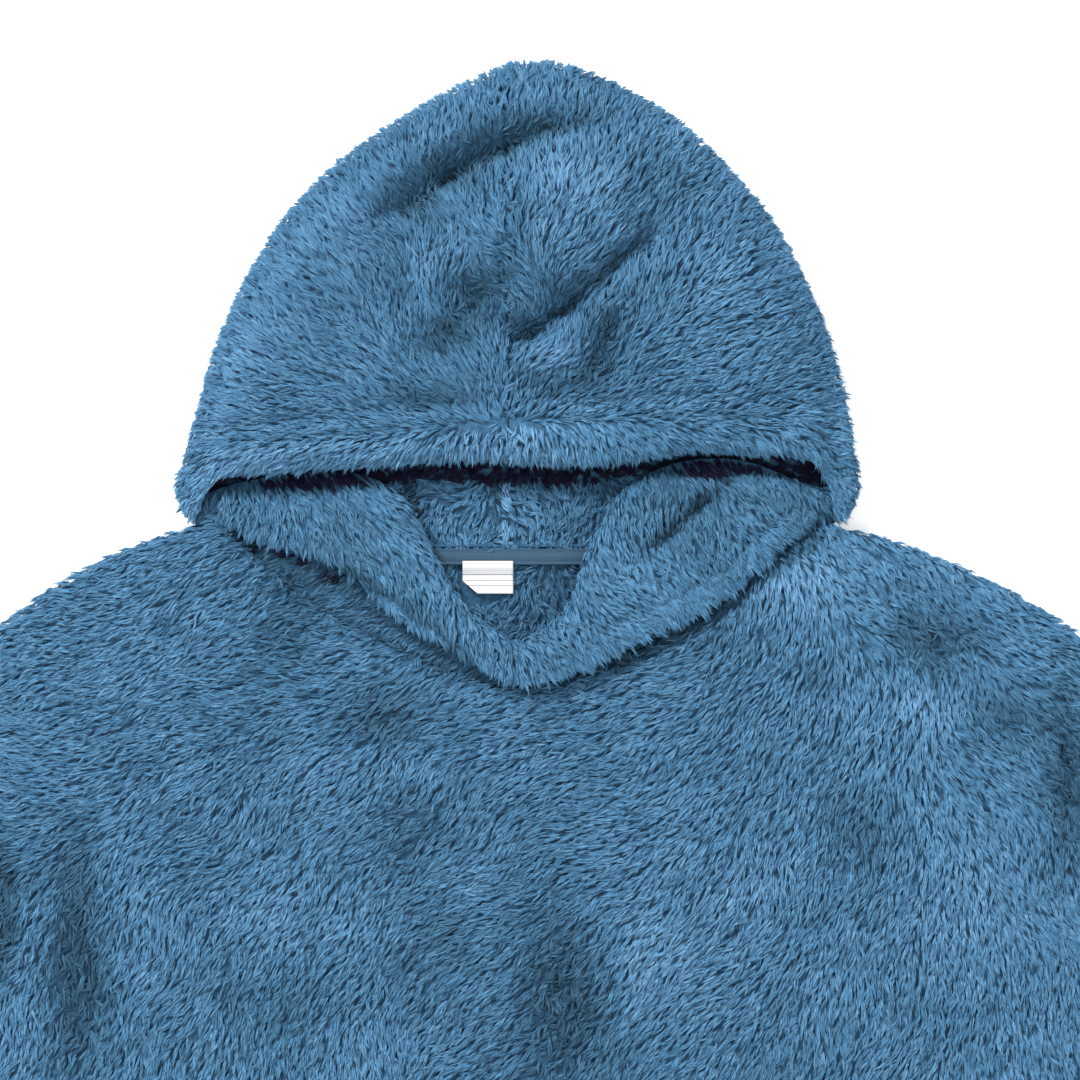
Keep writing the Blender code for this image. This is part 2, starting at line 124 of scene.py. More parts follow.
CROWN_FOLDS = rows_of(Fold, [
    (-64, 155, -34, 177, 9, -6.0), (-34, 177, 22, 205, 8, -6.5), (22, 203, 48, 206, 8, -4.0),
    (38, 172, 46, 176, 24, 6.0), (8, 146, 18, 138, 21, 6.0), (-26, 116, 6, 99, 11, -6.5),
    (-60, 132, -56, 126, 14, -4.0), (-42, 94, -34, 84, 16, -4.0), (2, 95, 24, 109, 7, -6.5),
    (24, 109, 64, 144, 7, -6.0), (10, 69, 42, 85, 10, -4.5), (42, 85, 52, 106, 9, -4.0),
    (70, 90, 96, 112, 22, 2.5), (-112, 92, -88, 128, 26, 2.5),
])

CROWN_CREASES = rows_of(Fold, [  # sharper forms within those folds
    (-57, 159, -36, 175, 7.0, -2.5), (-36, 175, -10, 189, 6.0, -3.0), (-10, 189, 30, 202, 4.5, -3.5),
    (2, 94, 22, 107, 3.5, -4.0), (22, 107, 62, 142, 3.5, -4.5), (32, 96, 70, 130, 9.0, 2.8),
    (-2, 150, 30, 184, 12.0, 2.2), (-58, 140, -48, 112, 7.0, -3.0), (-70, 110, -52, 92, 8.0, -2.5),
    (-30, 132, -2, 122, 9.0, 2.5), (-20, 72, 26, 64, 7.0, -2.5), (62, 142, 84, 168, 7.0, -2.0),
    (-22, 108, 0, 92, 5.0, -3.0), (-90, 150, -62, 172, 12.0, 2.0),
])

# Sleeve: its top fold and its underarm seam, as distances from the body's centre
SleeveRow = namedtuple("SleeveRow", "top_x top_y under_x under_y")
SLEEVE = rows_of(SleeveRow, [
    (270, -48, 270, -285), (330, -94, 300, -316), (400, -168, 345, -359), (470, -258, 393, -407),
    (535, -345, 441, -454), (594, -424, 490, -502),
])

# Hood: one section a row, from the centre seam round to the shoulder
HoodRow = namedtuple("HoodRow", "neck_x outline_x outline_y lip_x lip_y")
CROWN_SEAM_X = -4.0
HOOD_LEFT = rows_of(HoodRow, [
    (CROWN_SEAM_X, CROWN_SEAM_X, 235, CROWN_SEAM_X, 29), (-28, -38.5, 219, -25, 27.5),
    (-50, -66, 202.5, -42, 26), (-68, -93.5, 182.5, -60, 25), (-84, -116, 159, -78, 23.5),
    (-100, -136, 127.5, -98, 21.5), (-115, -151, 95, -116, 20), (-128, -160, 65, -131, 19),
    (-138, -166.5, 42, -143, 18.5), (-145, -170.5, 30, -150, 18), (-150, -172.5, 20, -154.5, 17),
    (-153, -167, 7.5, -157, 11),
])
HOOD_RIGHT = rows_of(HoodRow, [
    (CROWN_SEAM_X, CROWN_SEAM_X, 235, CROWN_SEAM_X, 29), (16, 21.5, 235, 18, 30),
    (38, 51.5, 224, 38, 30.5), (60, 81.5, 206, 60, 31), (80, 106.5, 182.5, 80, 32),
    (100, 129, 155, 100, 33), (114, 146.5, 122.5, 118, 33.5), (126, 157.5, 95, 131, 33),
    (136, 165.5, 65, 143, 30), (144, 169.5, 45, 151, 26), (150, 172.5, 23, 155, 19),
    (153, 167, 7.5, 157, 11),
])
ROLL = 10.0
ROLL_TOP = 17.0
CROWN_TOP = 25.5
CROWN_RISE = 22.0
CROWN_FOLD_START = 40.0
HOOD_HEM = 25.0
HEM_PUFF = 2.6  # how much the hem band swells
HEM_FURROW = 3.0  # depth of the stitched line beside it
LIP_ROUND = 6.0
LIP_DROP = 5.0
CENTRE_GROOVE = 0.5  # along the centre seam
FRINGE_ROOM = 3.0  # the ground ends this far inside an edge that hairs hang over

# Hood fronts turned out over the neck seam: the lower layer runs from the seam to the fold
# along the mouth, and the upper one back to the free edge, which is the hood's hem.
TurnRow = namedtuple("TurnRow", "neck_x fold_x fold_y edge_x edge_y top")
TURN_LEFT = rows_of(TurnRow, [
    (-0.2, -0.4, -54, -0.3, -77, 20), (-18, -18.5, -44, -20, -69.5, 21),
    (-36, -31, -30, -38, -58.5, 22), (-54, -43.5, -9, -54, -49.5, 22.5),
    (-70, -54, 10, -68.5, -40, 22.5), (-90, -66, 26, -88.5, -22.5, 21),
    (-110, -90, 33, -108, -11, 18.4), (-132, -118, 31, -134, -4, 18), (-150, -141, 26, -151, 6, 16.5),
    (-161, -160, 20, -162, 10, 15),
])
TURN_RIGHT = rows_of(TurnRow, [
    (0.2, 0.4, -54, 0.3, -78, 23), (18, 15, -46, 18, -75.5, 24), (36, 26.5, -33, 36, -69, 24),
    (54, 34, -12.5, 54, -61, 23.5), (70, 41.5, 5, 70, -53, 23), (90, 54, 24, 90, -43.5, 22),
    (110, 80, 37, 110, -31.5, 18.4), (132, 112, 38, 131, -9.5, 18), (150, 141, 27, 150, 6, 16.5),
    (161, 160, 20, 162, 10, 16),
])
TURN_HEM = 15.0  # from the free edge to the furrow beside it
TURN_FURROW = 1.6
TURN_SINK = 1.6  # of the lower layer below the front's ground
TURN_LEAST = 2.4  # height of the upper layer over the lower one
TURN_HUMP = 1.2
TURN_EDGE_DROP = 2.6
TURN_EDGE_ROUND = 5.0
TUCK = 7.5  # how far they are pressed down where they run under the lip
TUCK_REACH = 14.0
CORNER_Y = 8.0

# Points along a section, and columns and rows of a panel
ROW_STEPS = 6  # sections from one row of a table to the next
CROWN_LOW = 16  # points along the layer under the crown
CROWN_ROLL = 12  # round the outline
CROWN_OVER = 56  # over the crown, up to the rounded lip
TURN_LOW_POINTS = 14
TURN_FOLD_POINTS = 9
TURN_TOP_POINTS = 26
FRONT_GRID = (76, 88)
BACK_GRID = (44, 56)
SLEEVE_COLUMNS = 26

# Neck tape and label
TAPE_HALF = 78.0
TAPE_TOP_Y = -9.5
TAPE_WIDTH = 8.0
TAPE_THICK = 1.5
LABEL_X = -27.5
LABEL_WIDTH = 25.5
LABEL_TOP_Y = -15.5
LABEL_LENGTH = 16.5
LABEL_THICK = 0.5
LABEL_LIFT = 1.3

# Pile: the way its tips point, in degrees anticlockwise from X, at places on the body
Lie = namedtuple("Lie", "x y angle")
BODY_LIE = rows_of(Lie, [
    (-233, -60, 195), (-233, -135, 185), (-183, -35, 208), (-158, -85, 194), (-143, -115, 212),
    (-158, -160, 212), (-113, -165, 232), (-93, -95, 190), (-48, -95, 205), (-58, -145, 215),
    (-18, -185, 212), (-78, -240, 248), (-38, -235, 215), (31, -135, 192), (21, -85, 195),
    (41, -200, 210), (51, -235, 235), (91, -115, 220), (91, -175, 235), (91, -225, 225), (66, -65, 200),
    (121, -45, 262), (131, -80, 225), (141, -30, 285), (181, -25, 322), (231, -45, 320),
    (271, -60, 335), (206, -85, 275), (231, -105, 308), (171, -115, 258), (191, -150, 265),
    (141, -150, 250), (266, -125, 315), (266, -175, 290), (221, -225, 270), (166, -235, 250),
    (141, -210, 245), (261, -245, 275), (-200, -250, 258), (-240, -235, 255), (0, -450, 250),
    (-200, -450, 240), (200, -450, 275), (0, -650, 265), (-256, -220, 220), (-232, -208, 262),
    (-184, -190, 256), (-129, -248, 262), (-138, -146, 248), (-56, -122, 262), (-74, -250, 262),
    (-165, -225, 225), (-420, -270, 225), (420, -270, 315), (-540, -420, 230), (540, -420, 310),
])
LIE_REACH = 34.0

# Soft patches of painted shade over troughs and creases and painted light over ridges, partly also the
# pile's tone where it is brushed another way, and lines of painted shade along seams, furrows and creases
Patch = namedtuple("Patch", "x y reach_x reach_y shade")
# painted shade in the body's troughs and creases and painted light on its ridges, partly the pile's brushed
# tone
BODY_PATCHES = rows_of(Patch, [
    (-68, -95, 26, 14, -0.6), (-48, -148, 22, 24, -0.45), (-44, -200, 20, 26, -0.45),
    (24, -240, 22, 48, -1.0), (-221, -222, 15, 52, -1.15), (-150, -240, 60, 26, -0.3),
    (-186, -182, 14, 18, 0.2), (-158, -236, 16, 22, 0.1), (-258, -190, 7, 34, -1.1),
    (210, -58, 24, 16, -0.9), (242, -92, 20, 18, -0.8), (276, -120, 14, 40, -0.9),
    (172, -150, 24, 18, -0.5), (140, -28, 26, 14, 0.45), (205, -92, 20, 15, 0.45),
    (100, -52, 22, 12, -0.4), (150, -75, 16, 10, -0.4), (-120, -55, 18, 16, -0.45),
    (66, -212, 18, 34, 0.5), (-110, -28, 16, 12, -0.5), (-210, -80, 30, 16, 0.2),
    (-60, -120, 40, 14, 0.2), (230, -190, 26, 26, 0.35), (120, -190, 26, 26, 0.2),
    (-120, -200, 30, 20, 0.25),
])
# painted shade along the neck seam, under the right front's free edge and in the left armhole crease
BODY_LINES = rows_of(Fold, [
    (-134, -9, -107, -35, 1.6, -1.1), (-107, -35, -68, -55.5, 1.6, -1.0),
    (-68, -55.5, -38, -70, 1.8, -0.8), (-38, -70, -4, -79, 2.0, -0.6), (4, -80, 54, -66, 3.5, -0.9),
    (54, -66, 110, -35, 3.5, -1.0), (110, -35, 152, -4, 3.0, -0.9), (-270, -150, -262, -215, 4.0, -1.2),
])
# painted shade in the crown's creases and pockets and painted light on its domes and rises
CROWN_PATCHES = rows_of(Patch, [
    (-52, 163, 16, 11, -0.9), (-34, 180, 18, 12, -0.9), (-10, 192, 20, 10, -0.8),
    (12, 200, 18, 8, -0.7), (36, 205, 16, 5, -0.6), (-59, 128, 7, 16, -0.45), (-46, 130, 9, 11, 0.45),
    (-22, 116, 14, 14, -0.9), (-36, 98, 12, 9, -0.8), (-48, 91, 10, 6, -0.6), (4, 101, 11, 8, -0.9),
    (8, 116, 9, 6, 0.3), (-6, 127, 16, 7, -0.5), (26, 121, 13, 8, -0.5), (46, 134, 10, 8, -0.5),
    (46, 102, 8, 14, -0.75), (40, 82, 11, 10, -0.9), (24, 72, 14, 6, -0.7), (64, 182, 12, 12, -0.4),
    (84, 171, 10, 8, -0.35), (-40, 66, 18, 6, -0.65), (-58, 72, 12, 6, -0.35), (20, 181, 20, 12, 0.5),
    (37, 166, 14, 12, 0.3), (12, 148, 12, 9, 0.3), (28, 92, 9, 9, 0.4), (12, 82, 10, 7, 0.25),
    (-125, 110, 34, 60, 0.15), (110, 120, 34, 50, 0.15), (0, 42, 120, 7, 0.12), (-150, 40, 14, 30, 0.2),
    (-10, 222, 40, 8, 0.15),
])
# painted shade along the crown's crease lines and its centre seam
CROWN_LINES = rows_of(Fold, [
    (-56, 160, -36, 175, 3.5, -0.6), (-36, 175, -10, 189, 3.5, -0.8), (-10, 189, 10, 198, 2.8, -1.0),
    (10, 198, 32, 202, 2.2, -0.7), (3, 97, 22, 110, 2.6, -1.1), (22, 110, 58, 142, 1.8, -0.9),
    (17, 69, 32, 75, 2.2, -1.1), (32, 75, 44, 80, 3.0, -0.9), (1, 148, 1, 170, 1.4, -0.35),
])
# painted shade along the creases and the furrow of the turned-out fronts
TURNED_LEFT_LINES = rows_of(Fold, [(-85, -18, -42, -48, 2.2, -0.8), (-42, -48, -22, -66, 2.2, -0.8)])
TURNED_RIGHT_LINES = rows_of(Fold, [
    (112, 28, 93, 13, 3.2, -0.8), (93, 13, 70, -4, 3.4, -0.8), (70, -4, 60, -13, 3.2, -0.6),
])
TURN_CREASES = rows_of(Fold, [
    (102, 27, 90, 12, 5.0, -3.4), (90, 12, 74, -3, 5.0, -3.0), (74, -3, 64, -12, 5.0, -1.8),
    (58, 18, 50, -4, 12.0, 1.4), (-90, -22, -66, -32, 4.5, -1.8), (-66, -32, -40, -48, 4.5, -1.2),
    (-112, 6, -76, -14, 12.0, 1.2),
])

# The mouth: its upper edge as the hair shows it, and how far the painted shadow of the slit reaches below
# that
Slit = namedtuple("Slit", "x top depth")
MOUTH = rows_of(Slit, [
    (-155, 19, 1.5), (-136, 23.5, 2.2), (-118, 23.5, 2.5), (-104, 25, 5.0), (-92, 26, 4.6),
    (-74, 27, 3.4), (-57, 28.5, 4.4), (-36, 31, 6.0), (-12, 31, 8.0), (14, 29.5, 7.5), (42, 29, 5.0),
    (61, 32, 3.5), (79, 34, 4.5), (90, 34, 9.0), (98, 34, 8.5), (110, 33.5, 5.0), (121, 33, 4.5),
    (130, 33, 8.0), (137, 33, 9.0), (148, 28.5, 5.0), (153, 24.5, 2.0),
])
LIP_ROOM = 5.5  # from there up to the end of the ground, room for the fringe
MOUTH_END = 156.0
# painted shadow in the slit under the lip
SLIT_SHADE = -3.0
DARKEST = -0.9  # of the pile outside the slit
TINT_PLAIN = 0.6  # tint of the plain pile, from 0, in the slit's painted shadow, to 1
TINT_RANGE = 0.4
LEDGE_LINES = rows_of(Fold, [  # the deepest shadow on the lower layer, right under the left free edge
    (-142, -3, -110, -14, 3.2, -1.3), (-110, -14, -92, -25, 3.0, -0.9), (-92, -25, -70, -43, 2.8, -0.5),
    (-70, -43, -20, -72, 2.4, -0.5),
])
INSIDE_LINES = rows_of(Fold, [  # the deepest shadow on the inner face, beside the left front's fold
    (-57, 24, -49.5, 8, 2.6, -1.2), (-49.5, 8, -41, -9, 2.4, -1.0),
])
INSIDE_SEAM_LIGHT_AND_SHADE = rows_of(Fold, [  # painted light along the hood's raised centre seam on its inner face, between painted shade on its two sides
    (-5.5, 24, -5.5, -6, 2.4, 0.75), (-10.5, 24, -10.5, -6, 1.3, -0.9), (-0.8, 24, -0.8, -6, 1.1, -0.7),
])
INSIDE_RIDGE = Fold(-5.5, 30, -5.5, -10, 2.6, 1.8)

# One kind of pile: tufts a square millimetre, hairs a tuft, and a hair's sizes
Pile = namedtuple("Pile", "tufts hairs length width height spread lean stations")
LONG = Pile(0.20, 6, 8.0, 0.82, 2.2, 1.0, 9.0, 2)
FRINGE = Pile(0.50, 6, 6.0, 0.72, 1.5, 0.9, 12.0, 3)
SHORT = Pile(0.26, 6, 4.6, 0.66, 1.6, 0.9, 10.0, 2)
INSIDE = Pile(0.19, 6, 6.5, 0.8, 2.2, 1.2, 22.0, 2)
SPARSE = Pile(0.026, 6, 14.0, 2.1, 2.4, 2.4, 11.0, 2)
UNDER = Pile(0.008, 5, 15.0, 3.4, 2.0, 4.0, 22.0, 2)
UNDER_MARGIN = slice(7, -7)  # rows and columns of a grid that keep clear of its edges
SHOWN = 0.55  # share of a hair's length at the middle of what shows of it
TUFT_NOISE = 0.11  # in a tuft's shade
HAIR_NOISE = 0.13  # in a single hair's
CLOUDS = 0.14  # swing of the slow clouds in the pile's shade
MOTTLE = 0.12  # and of the quicker ones

# Along a hair, from its pointed root: the share of the length, of the height and of the width
STATIONS = {
    2: ((0.0, 0.0, 0.0), (0.45, 0.95, 1.0), (1.0, 0.9, 0.0)),
    3: ((0.0, 0.0, 0.0), (0.3, 0.75, 1.0), (0.68, 1.0, 0.8), (1.0, 0.8, 0.0)),
}

# Colours: a ramp's stops, each with its place and its linear colour
PILE_TINTS = [  # from the painted shadow deep in the slit, through the painted shade of creases, to the palest tuft
    (0.0, (0.012, 0.010, 0.036)), (0.05, (0.016, 0.020, 0.054)), (0.13, (0.022, 0.070, 0.114)),
    (0.6, (0.092, 0.252, 0.428)), (1.0, (0.215, 0.450, 0.695)),
]
PILE_ROOT_SHADE = [  # painted shade along a hair, darkest at its root deep among the others, to its tip
    (0.0, (0.72, 0.76, 0.82)), (0.5, (0.90, 0.92, 0.94)), (1.0, (1.0, 1.0, 1.0)),
]
GROUND_TINTS = [(0.25, (0.026, 0.074, 0.132)), (0.75, (0.068, 0.188, 0.325))]
GROUND_CLOUDS = [(0.3, (0.70, 0.74, 0.78)), (0.7, (1.0, 1.0, 1.0))]
TAPE_DARK = (0.020, 0.066, 0.120)
TAPE_LIGHT = (0.034, 0.105, 0.180)
LABEL_DARK = (0.70, 0.71, 0.73)
LABEL_LIGHT = (0.92, 0.92, 0.93)
RULE_GREY = (0.28, 0.29, 0.31, 1)
WAVE_STRIPES = 6.4  # light and dark stripes a metre in a wave texture at scale 1
LABEL_RULES = ((7.2, 6.6), (10.2, 9.8), (12.6, 12.2))  # each rule's two edges below the label's top

# Studio, in metres and watts
FLOOR_HALF = 3.0
FLOOR_DROP = 0.0003
FLOOR_GLOW = 0.45
SKY = 0.68
Lamp = namedtuple("Lamp", "name place aim size power")
LAMPS = rows_of(Lamp, [
    ("key", (-1.5, 2.3, 2.1), (0, 0.15, 0), 0.8, 108), ("fill", (1.6, -1.2, 2.6), (0, 0.1, 0), 2.0, 22),
])

# Where the pile goes: bands of the front as name, low x and high x, and what shows inside
PILE_BANDS = [("left", -400, -95), ("middle", -95, 95), ("right", 95, 400)]
SLEEVE_SHARE = 1.2  # of the sparse pile's tufts
BACK_SHOWN_HALF = 85.0
BACK_SHOWN_LOW = -95.0
HOOD_SHOWN_HALF = 158.0
HOOD_SHOWN_TOP = 70.0

# Camera: straight above, with the photograph's frame at half a millimetre a pixel
PIXEL = 0.5
PHOTO_CENTRE = (11.5, -5.0)
PHOTO_SIZE = 1080
FRAME_HALF = 282.0  # half the photograph's frame and a fringe, where the pile is finest
VIEW_HEIGHT = 18.0
CAMERA_ABOVE = 1500.0
SENSOR = 36.0


def garment_origin():
    """Where the garment's own zero lies in the row frame, in millimetres."""
    x = (CAD_LOW.x + CAD_HIGH.x) / 2 / MM - BODY_SHIFT
    y = CAD_LOW.y / MM - HEM_Y
    return np.array([x, y, 0.0])


ORIGIN = garment_origin()


def smoothstep(value):
    value = np.clip(value, 0.0, 1.0)
    return value * value * (3 - 2 * value)


def bell(distance, width):
    return np.exp(-((distance / width) ** 2))


def rounded_off(near):
    """From 1 at an edge to 0 a whole reach from it, along a quarter of a circle."""
    return 1 - np.sqrt(1 - (1 - np.clip(near, 0, 1)) ** 2)


def heading(angle):
    return np.stack([np.cos(angle), np.sin(angle)], axis=-1)


def unit(vectors):
    return vectors / np.maximum(np.linalg.norm(vectors, axis=-1, keepdims=True), 1e-9)


def relief(folds, x, y):
    """The summed height of the soft folds at each point."""
    total = np.zeros_like(x)
    for fold in folds:
        along = np.array([fold.x1 - fold.x0, fold.y1 - fold.y0])
        reach = ((x - fold.x0) * along[0] + (y - fold.y0) * along[1]) / (along @ along)
        reach = np.clip(reach, 0, 1)
        away = (x - fold.x0 - reach * along[0]) ** 2 + (y - fold.y0 - reach * along[1]) ** 2
        total = total + fold.height * np.exp(-away / fold.width**2)
    return total


def along_line(stations, x):
    return np.interp(abs(x), [s.x for s in stations], [s.y for s in stations])


def smooth_rows(table, steps):
    """Sections smoothly between a table's rows, as rows of the same kind."""
    kind = type(table[0])
    values = np.array(table, float)
    padded = np.vstack([2 * values[0] - values[1], values, 2 * values[-1] - values[-2]])
    rows = []
    for place in np.linspace(0, len(values) - 1, (len(values) - 1) * steps + 1):
        first = min(int(place), len(values) - 2)
        t = place - first
        a, b, c, d = padded[first: first + 4]
        rows.append(kind(*(0.5 * (2 * b + (c - a) * t + (2 * a - 5 * b + 4 * c - d) * t**2
                                  + (3 * b - a - 3 * c + d) * t**3))))
    return rows


def edged(length, count):
    """Distances across a panel, closer together beside both edges."""
    inside = np.linspace(EDGE_STEPS[-1], length - EDGE_STEPS[-1], count)
    near = np.array(EDGE_STEPS[:-1])
    return np.concatenate([near, inside, length - near[::-1]])


def edge_drop(distance, length, depth=WALL, reach=EDGE_ROUND):
    """How far the cloth rounds down beside both edges."""
    return depth * rounded_off(np.minimum(distance, length - distance) / reach)


def edge_fade(distance, length):
    return smoothstep(np.minimum(distance, length - distance) / (2.5 * EDGE_ROUND))


def with_height(plan, z):
    return np.concatenate([plan, z[..., None]], axis=-1)


def body_plan(neck, columns, rows):
    """Plan of a body panel, with each point's distances from its side and its hem."""
    side = edged(2 * HALF_CHEST, columns)
    plan, down, lengths = [], [], []
    for x in side - HALF_CHEST:
        top = along_line(neck if abs(x) <= NECK_HALF else SHOULDER, x)
        top = top + NECK_LAP * (1 - smoothstep((abs(x) - NECK_HALF) / NECK_LAP_FADE))
        length = top - HEM_Y
        along = edged(length, rows)
        y = HEM_Y + along
        wide = np.interp(y, [HEM_Y, UNDERARM_Y], [HALF_HEM, HALF_CHEST])
        beside_neck = smoothstep((abs(x) - NECK_HALF) / (HALF_CHEST - NECK_HALF))
        lean = BODY_SHIFT * np.maximum(beside_neck, 1 - along / length)
        plan.append(np.stack([x / HALF_CHEST * wide + lean, y], axis=-1))
        down.append(along)
        lengths.append(length)
    plan = np.array(plan).transpose(1, 0, 2)
    down = np.array(down).T
    beside_sleeve = smoothstep((plan[..., 1] - UNDERARM_Y) / 20)
    side_drop = edge_drop(side, 2 * HALF_CHEST)[None, :] * (1 - beside_sleeve)
    side_drop = side_drop + edge_drop(side, 2 * HALF_CHEST, SEAM_GROOVE, SEAM_REACH) * beside_sleeve
    drop = np.maximum(edge_drop(down, np.array(lengths)), side_drop)
    fade = np.minimum(edge_fade(down, np.array(lengths)), edge_fade(side, 2 * HALF_CHEST)[None, :])
    return plan, drop, fade


def front_surface():
    plan, drop, fade = body_plan(FRONT_NECK, *FRONT_GRID)
    x, y = plan[..., 0], plan[..., 1]
    loft = (BODY_LOFT + relief(BODY_FOLDS, x, y)) * fade
    hem = -HEM_GROOVE * bell(y - HEM_Y - HEM_DEPTH, GROOVE_WIDTH)
    return with_height(plan, FRONT_TOP + loft + hem - drop)


def back_surface():
    plan, drop, fade = body_plan(BACK_NECK, *BACK_GRID)
    return with_height(plan, drop)


def sleeve_surface(side):
    """Once round a flattened tube: over the top layer and back along the lower one."""
    rows = []
    for row in smooth_rows(SLEEVE, ROW_STEPS):
        lap = NECK_LAP * (1 - smoothstep((row.top_x - HALF_CHEST) / NECK_LAP_FADE))
        top = np.array([row.top_x - lap, row.top_y])
        under = np.array([row.under_x - lap, row.under_y])
        width = np.linalg.norm(under - top)
        steps = edged(width, SLEEVE_COLUMNS)
        line = top + steps[:, None] * (under - top) / width
        drop = edge_drop(steps, width)
        fold = relief(SLEEVE_FOLDS, line[:, 0], line[:, 1]) * edge_fade(steps, width)
        over = with_height(line, FRONT_TOP + fold - drop)
        below = with_height(line[::-1], drop[::-1])
        rows.append(np.concatenate([over, below]))
    grid = np.array(rows)
    grid[..., 0] = side * grid[..., 0] + BODY_SHIFT
    return grid


def crown_section(row):
    """Outer points of one hood section: under the crown, round the outline, over it to the lip."""
    neck = np.array([row.neck_x, along_line(BACK_NECK, row.neck_x) - NECK_LAP])
    outline = np.array([row.outline_x, row.outline_y])
    shown = smoothstep((MOUTH_END - abs(row.lip_x)) / 10)
    lip = np.array([row.lip_x, row.lip_y + shown * (mouth_top(row.lip_x) + LIP_ROOM - row.lip_y)])
    low_length = np.linalg.norm(outline - neck)
    top_length = np.linalg.norm(lip - outline)
    low_way = (outline - neck) / low_length
    top_way = (outline - lip) / top_length
    roll = min(ROLL, 0.45 * min(low_length, top_length))
    shares = np.linspace(0, 1, CROWN_LOW)[:, None]
    low = with_height(neck + low_way * (low_length - roll) * shares, np.zeros(CROWN_LOW))
    angle = np.radians(np.linspace(-75, 78, CROWN_ROLL))
    turn = ((angle + np.pi / 2) / np.pi)[:, None]
    way = unit(low_way * (1 - turn) + top_way * turn)
    half = ROLL_TOP / 2
    rolled = with_height(outline - way * (roll * (1 - np.cos(angle)))[:, None], half + half * np.sin(angle))
    inset = np.concatenate([np.linspace(top_length - roll, LIP_ROUND, CROWN_OVER),
                            LIP_ROUND * np.array([0.78, 0.56, 0.36, 0.18, 0.06, 0.0])])
    inset = np.minimum(inset, top_length - roll)
    place = lip + top_way * inset[:, None]
    away = top_length - inset - roll
    rise = ROLL_TOP + (CROWN_TOP - ROLL_TOP) * smoothstep(away / CROWN_RISE)
    folds = relief(CROWN_FOLDS + CROWN_CREASES, place[:, 0], place[:, 1])
    folds = folds * smoothstep(away / CROWN_FOLD_START)
    hem_room = smoothstep((top_length - roll - HOOD_HEM) / HOOD_HEM)
    furrow = HEM_FURROW * hem_room * bell(inset - HOOD_HEM, GROOVE_WIDTH)
    puff = HEM_PUFF * hem_room * bell(inset - 0.45 * HOOD_HEM, 9.0)
    lip_drop = LIP_DROP * rounded_off(inset / LIP_ROUND)
    seam = CENTRE_GROOVE * bell(place[:, 0] - CROWN_SEAM_X, SEAM_REACH)
    top = with_height(place, rise + folds - furrow + puff - lip_drop - seam)
    return np.concatenate([low, rolled, top])


def turned_section(row):
    """Ground points of a turned-out front: along the lower layer, round the fold, to the free edge."""
    seam_y = along_line(FRONT_NECK, row.neck_x) if abs(row.neck_x) <= NECK_HALF else CORNER_Y
    neck = np.array([row.neck_x, seam_y + 1.5 * SEAM])
    fold = np.array([row.fold_x, row.fold_y])
    width = np.linalg.norm(fold - neck)
    way = (fold - neck) / width
    ledge = np.clip((np.array([row.edge_x, row.edge_y]) - neck) @ way, 2.0, 0.5 * width)
    low = FRONT_TOP - PILE_DEPTH - TURN_SINK
    high = max(row.top - PILE_DEPTH, low + TURN_LEAST)
    half = (high - low) / 2
    turn = min(half, 0.3 * width)
    reach = width - FRINGE_ROOM
    out = np.linspace(0, reach - turn, TURN_LOW_POINTS)
    lower = np.stack([out, low + 0 * out], axis=-1)
    angle = np.radians(np.linspace(-72, 72, TURN_FOLD_POINTS))
    rolled = np.stack([reach - turn + turn * np.cos(angle), low + half + half * np.sin(angle)], axis=-1)
    back = np.linspace(reach - turn, min(ledge + FRINGE_ROOM + 1, reach - turn - 2), TURN_TOP_POINTS)
    share = (back - ledge) / (reach - ledge)
    hump = TURN_HUMP * np.sin(np.pi * np.clip(share, 0, 1))
    hem = -TURN_FURROW * bell(back - ledge - TURN_HEM, 3.5) * smoothstep((width - 30) / 20)
    edge = TURN_EDGE_DROP * rounded_off((back - ledge) / TURN_EDGE_ROUND)
    upper = np.stack([back, high + hump + hem - edge], axis=-1)
    line = np.concatenate([lower, rolled, upper])
    place = neck + line[:, :1] * way
    under_lip = smoothstep((place[:, 1] - lip_line(place[:, 0]) + TUCK_REACH) / TUCK_REACH)
    tucked = np.minimum(TUCK * under_lip, 0.75 * (line[:, 1] - low))
    creased = relief(TURN_CREASES, place[:, 0], place[:, 1]) * smoothstep((line[:, 1] - low) / half - 1)
    creased = np.maximum(creased, -0.6 * (line[:, 1] - low))
    return with_height(place, line[:, 1] - tucked + creased)


def normals_of(grid, wrap=False):
    """Unit normals at a grid's points, with the sense of rows crossed with columns."""
    if wrap:
        ring = np.concatenate([grid[:, -1:], grid, grid[:, :1]], axis=1)
        across = (ring[:, 2:] - ring[:, :-2]) / 2
    else:
        across = np.gradient(grid, axis=1)
    return unit(np.cross(np.gradient(grid, axis=0), across))


def outward(grid, up, wrap=False):
    """Normals turned so that those of the columns named by up point upwards."""
    normals = normals_of(grid, wrap)
    if normals[:, up, 2].mean() < 0:
        normals = -normals
    return normals


def to_row_frame(points):
    return (points.reshape(-1, 3) + ORIGIN) * MM


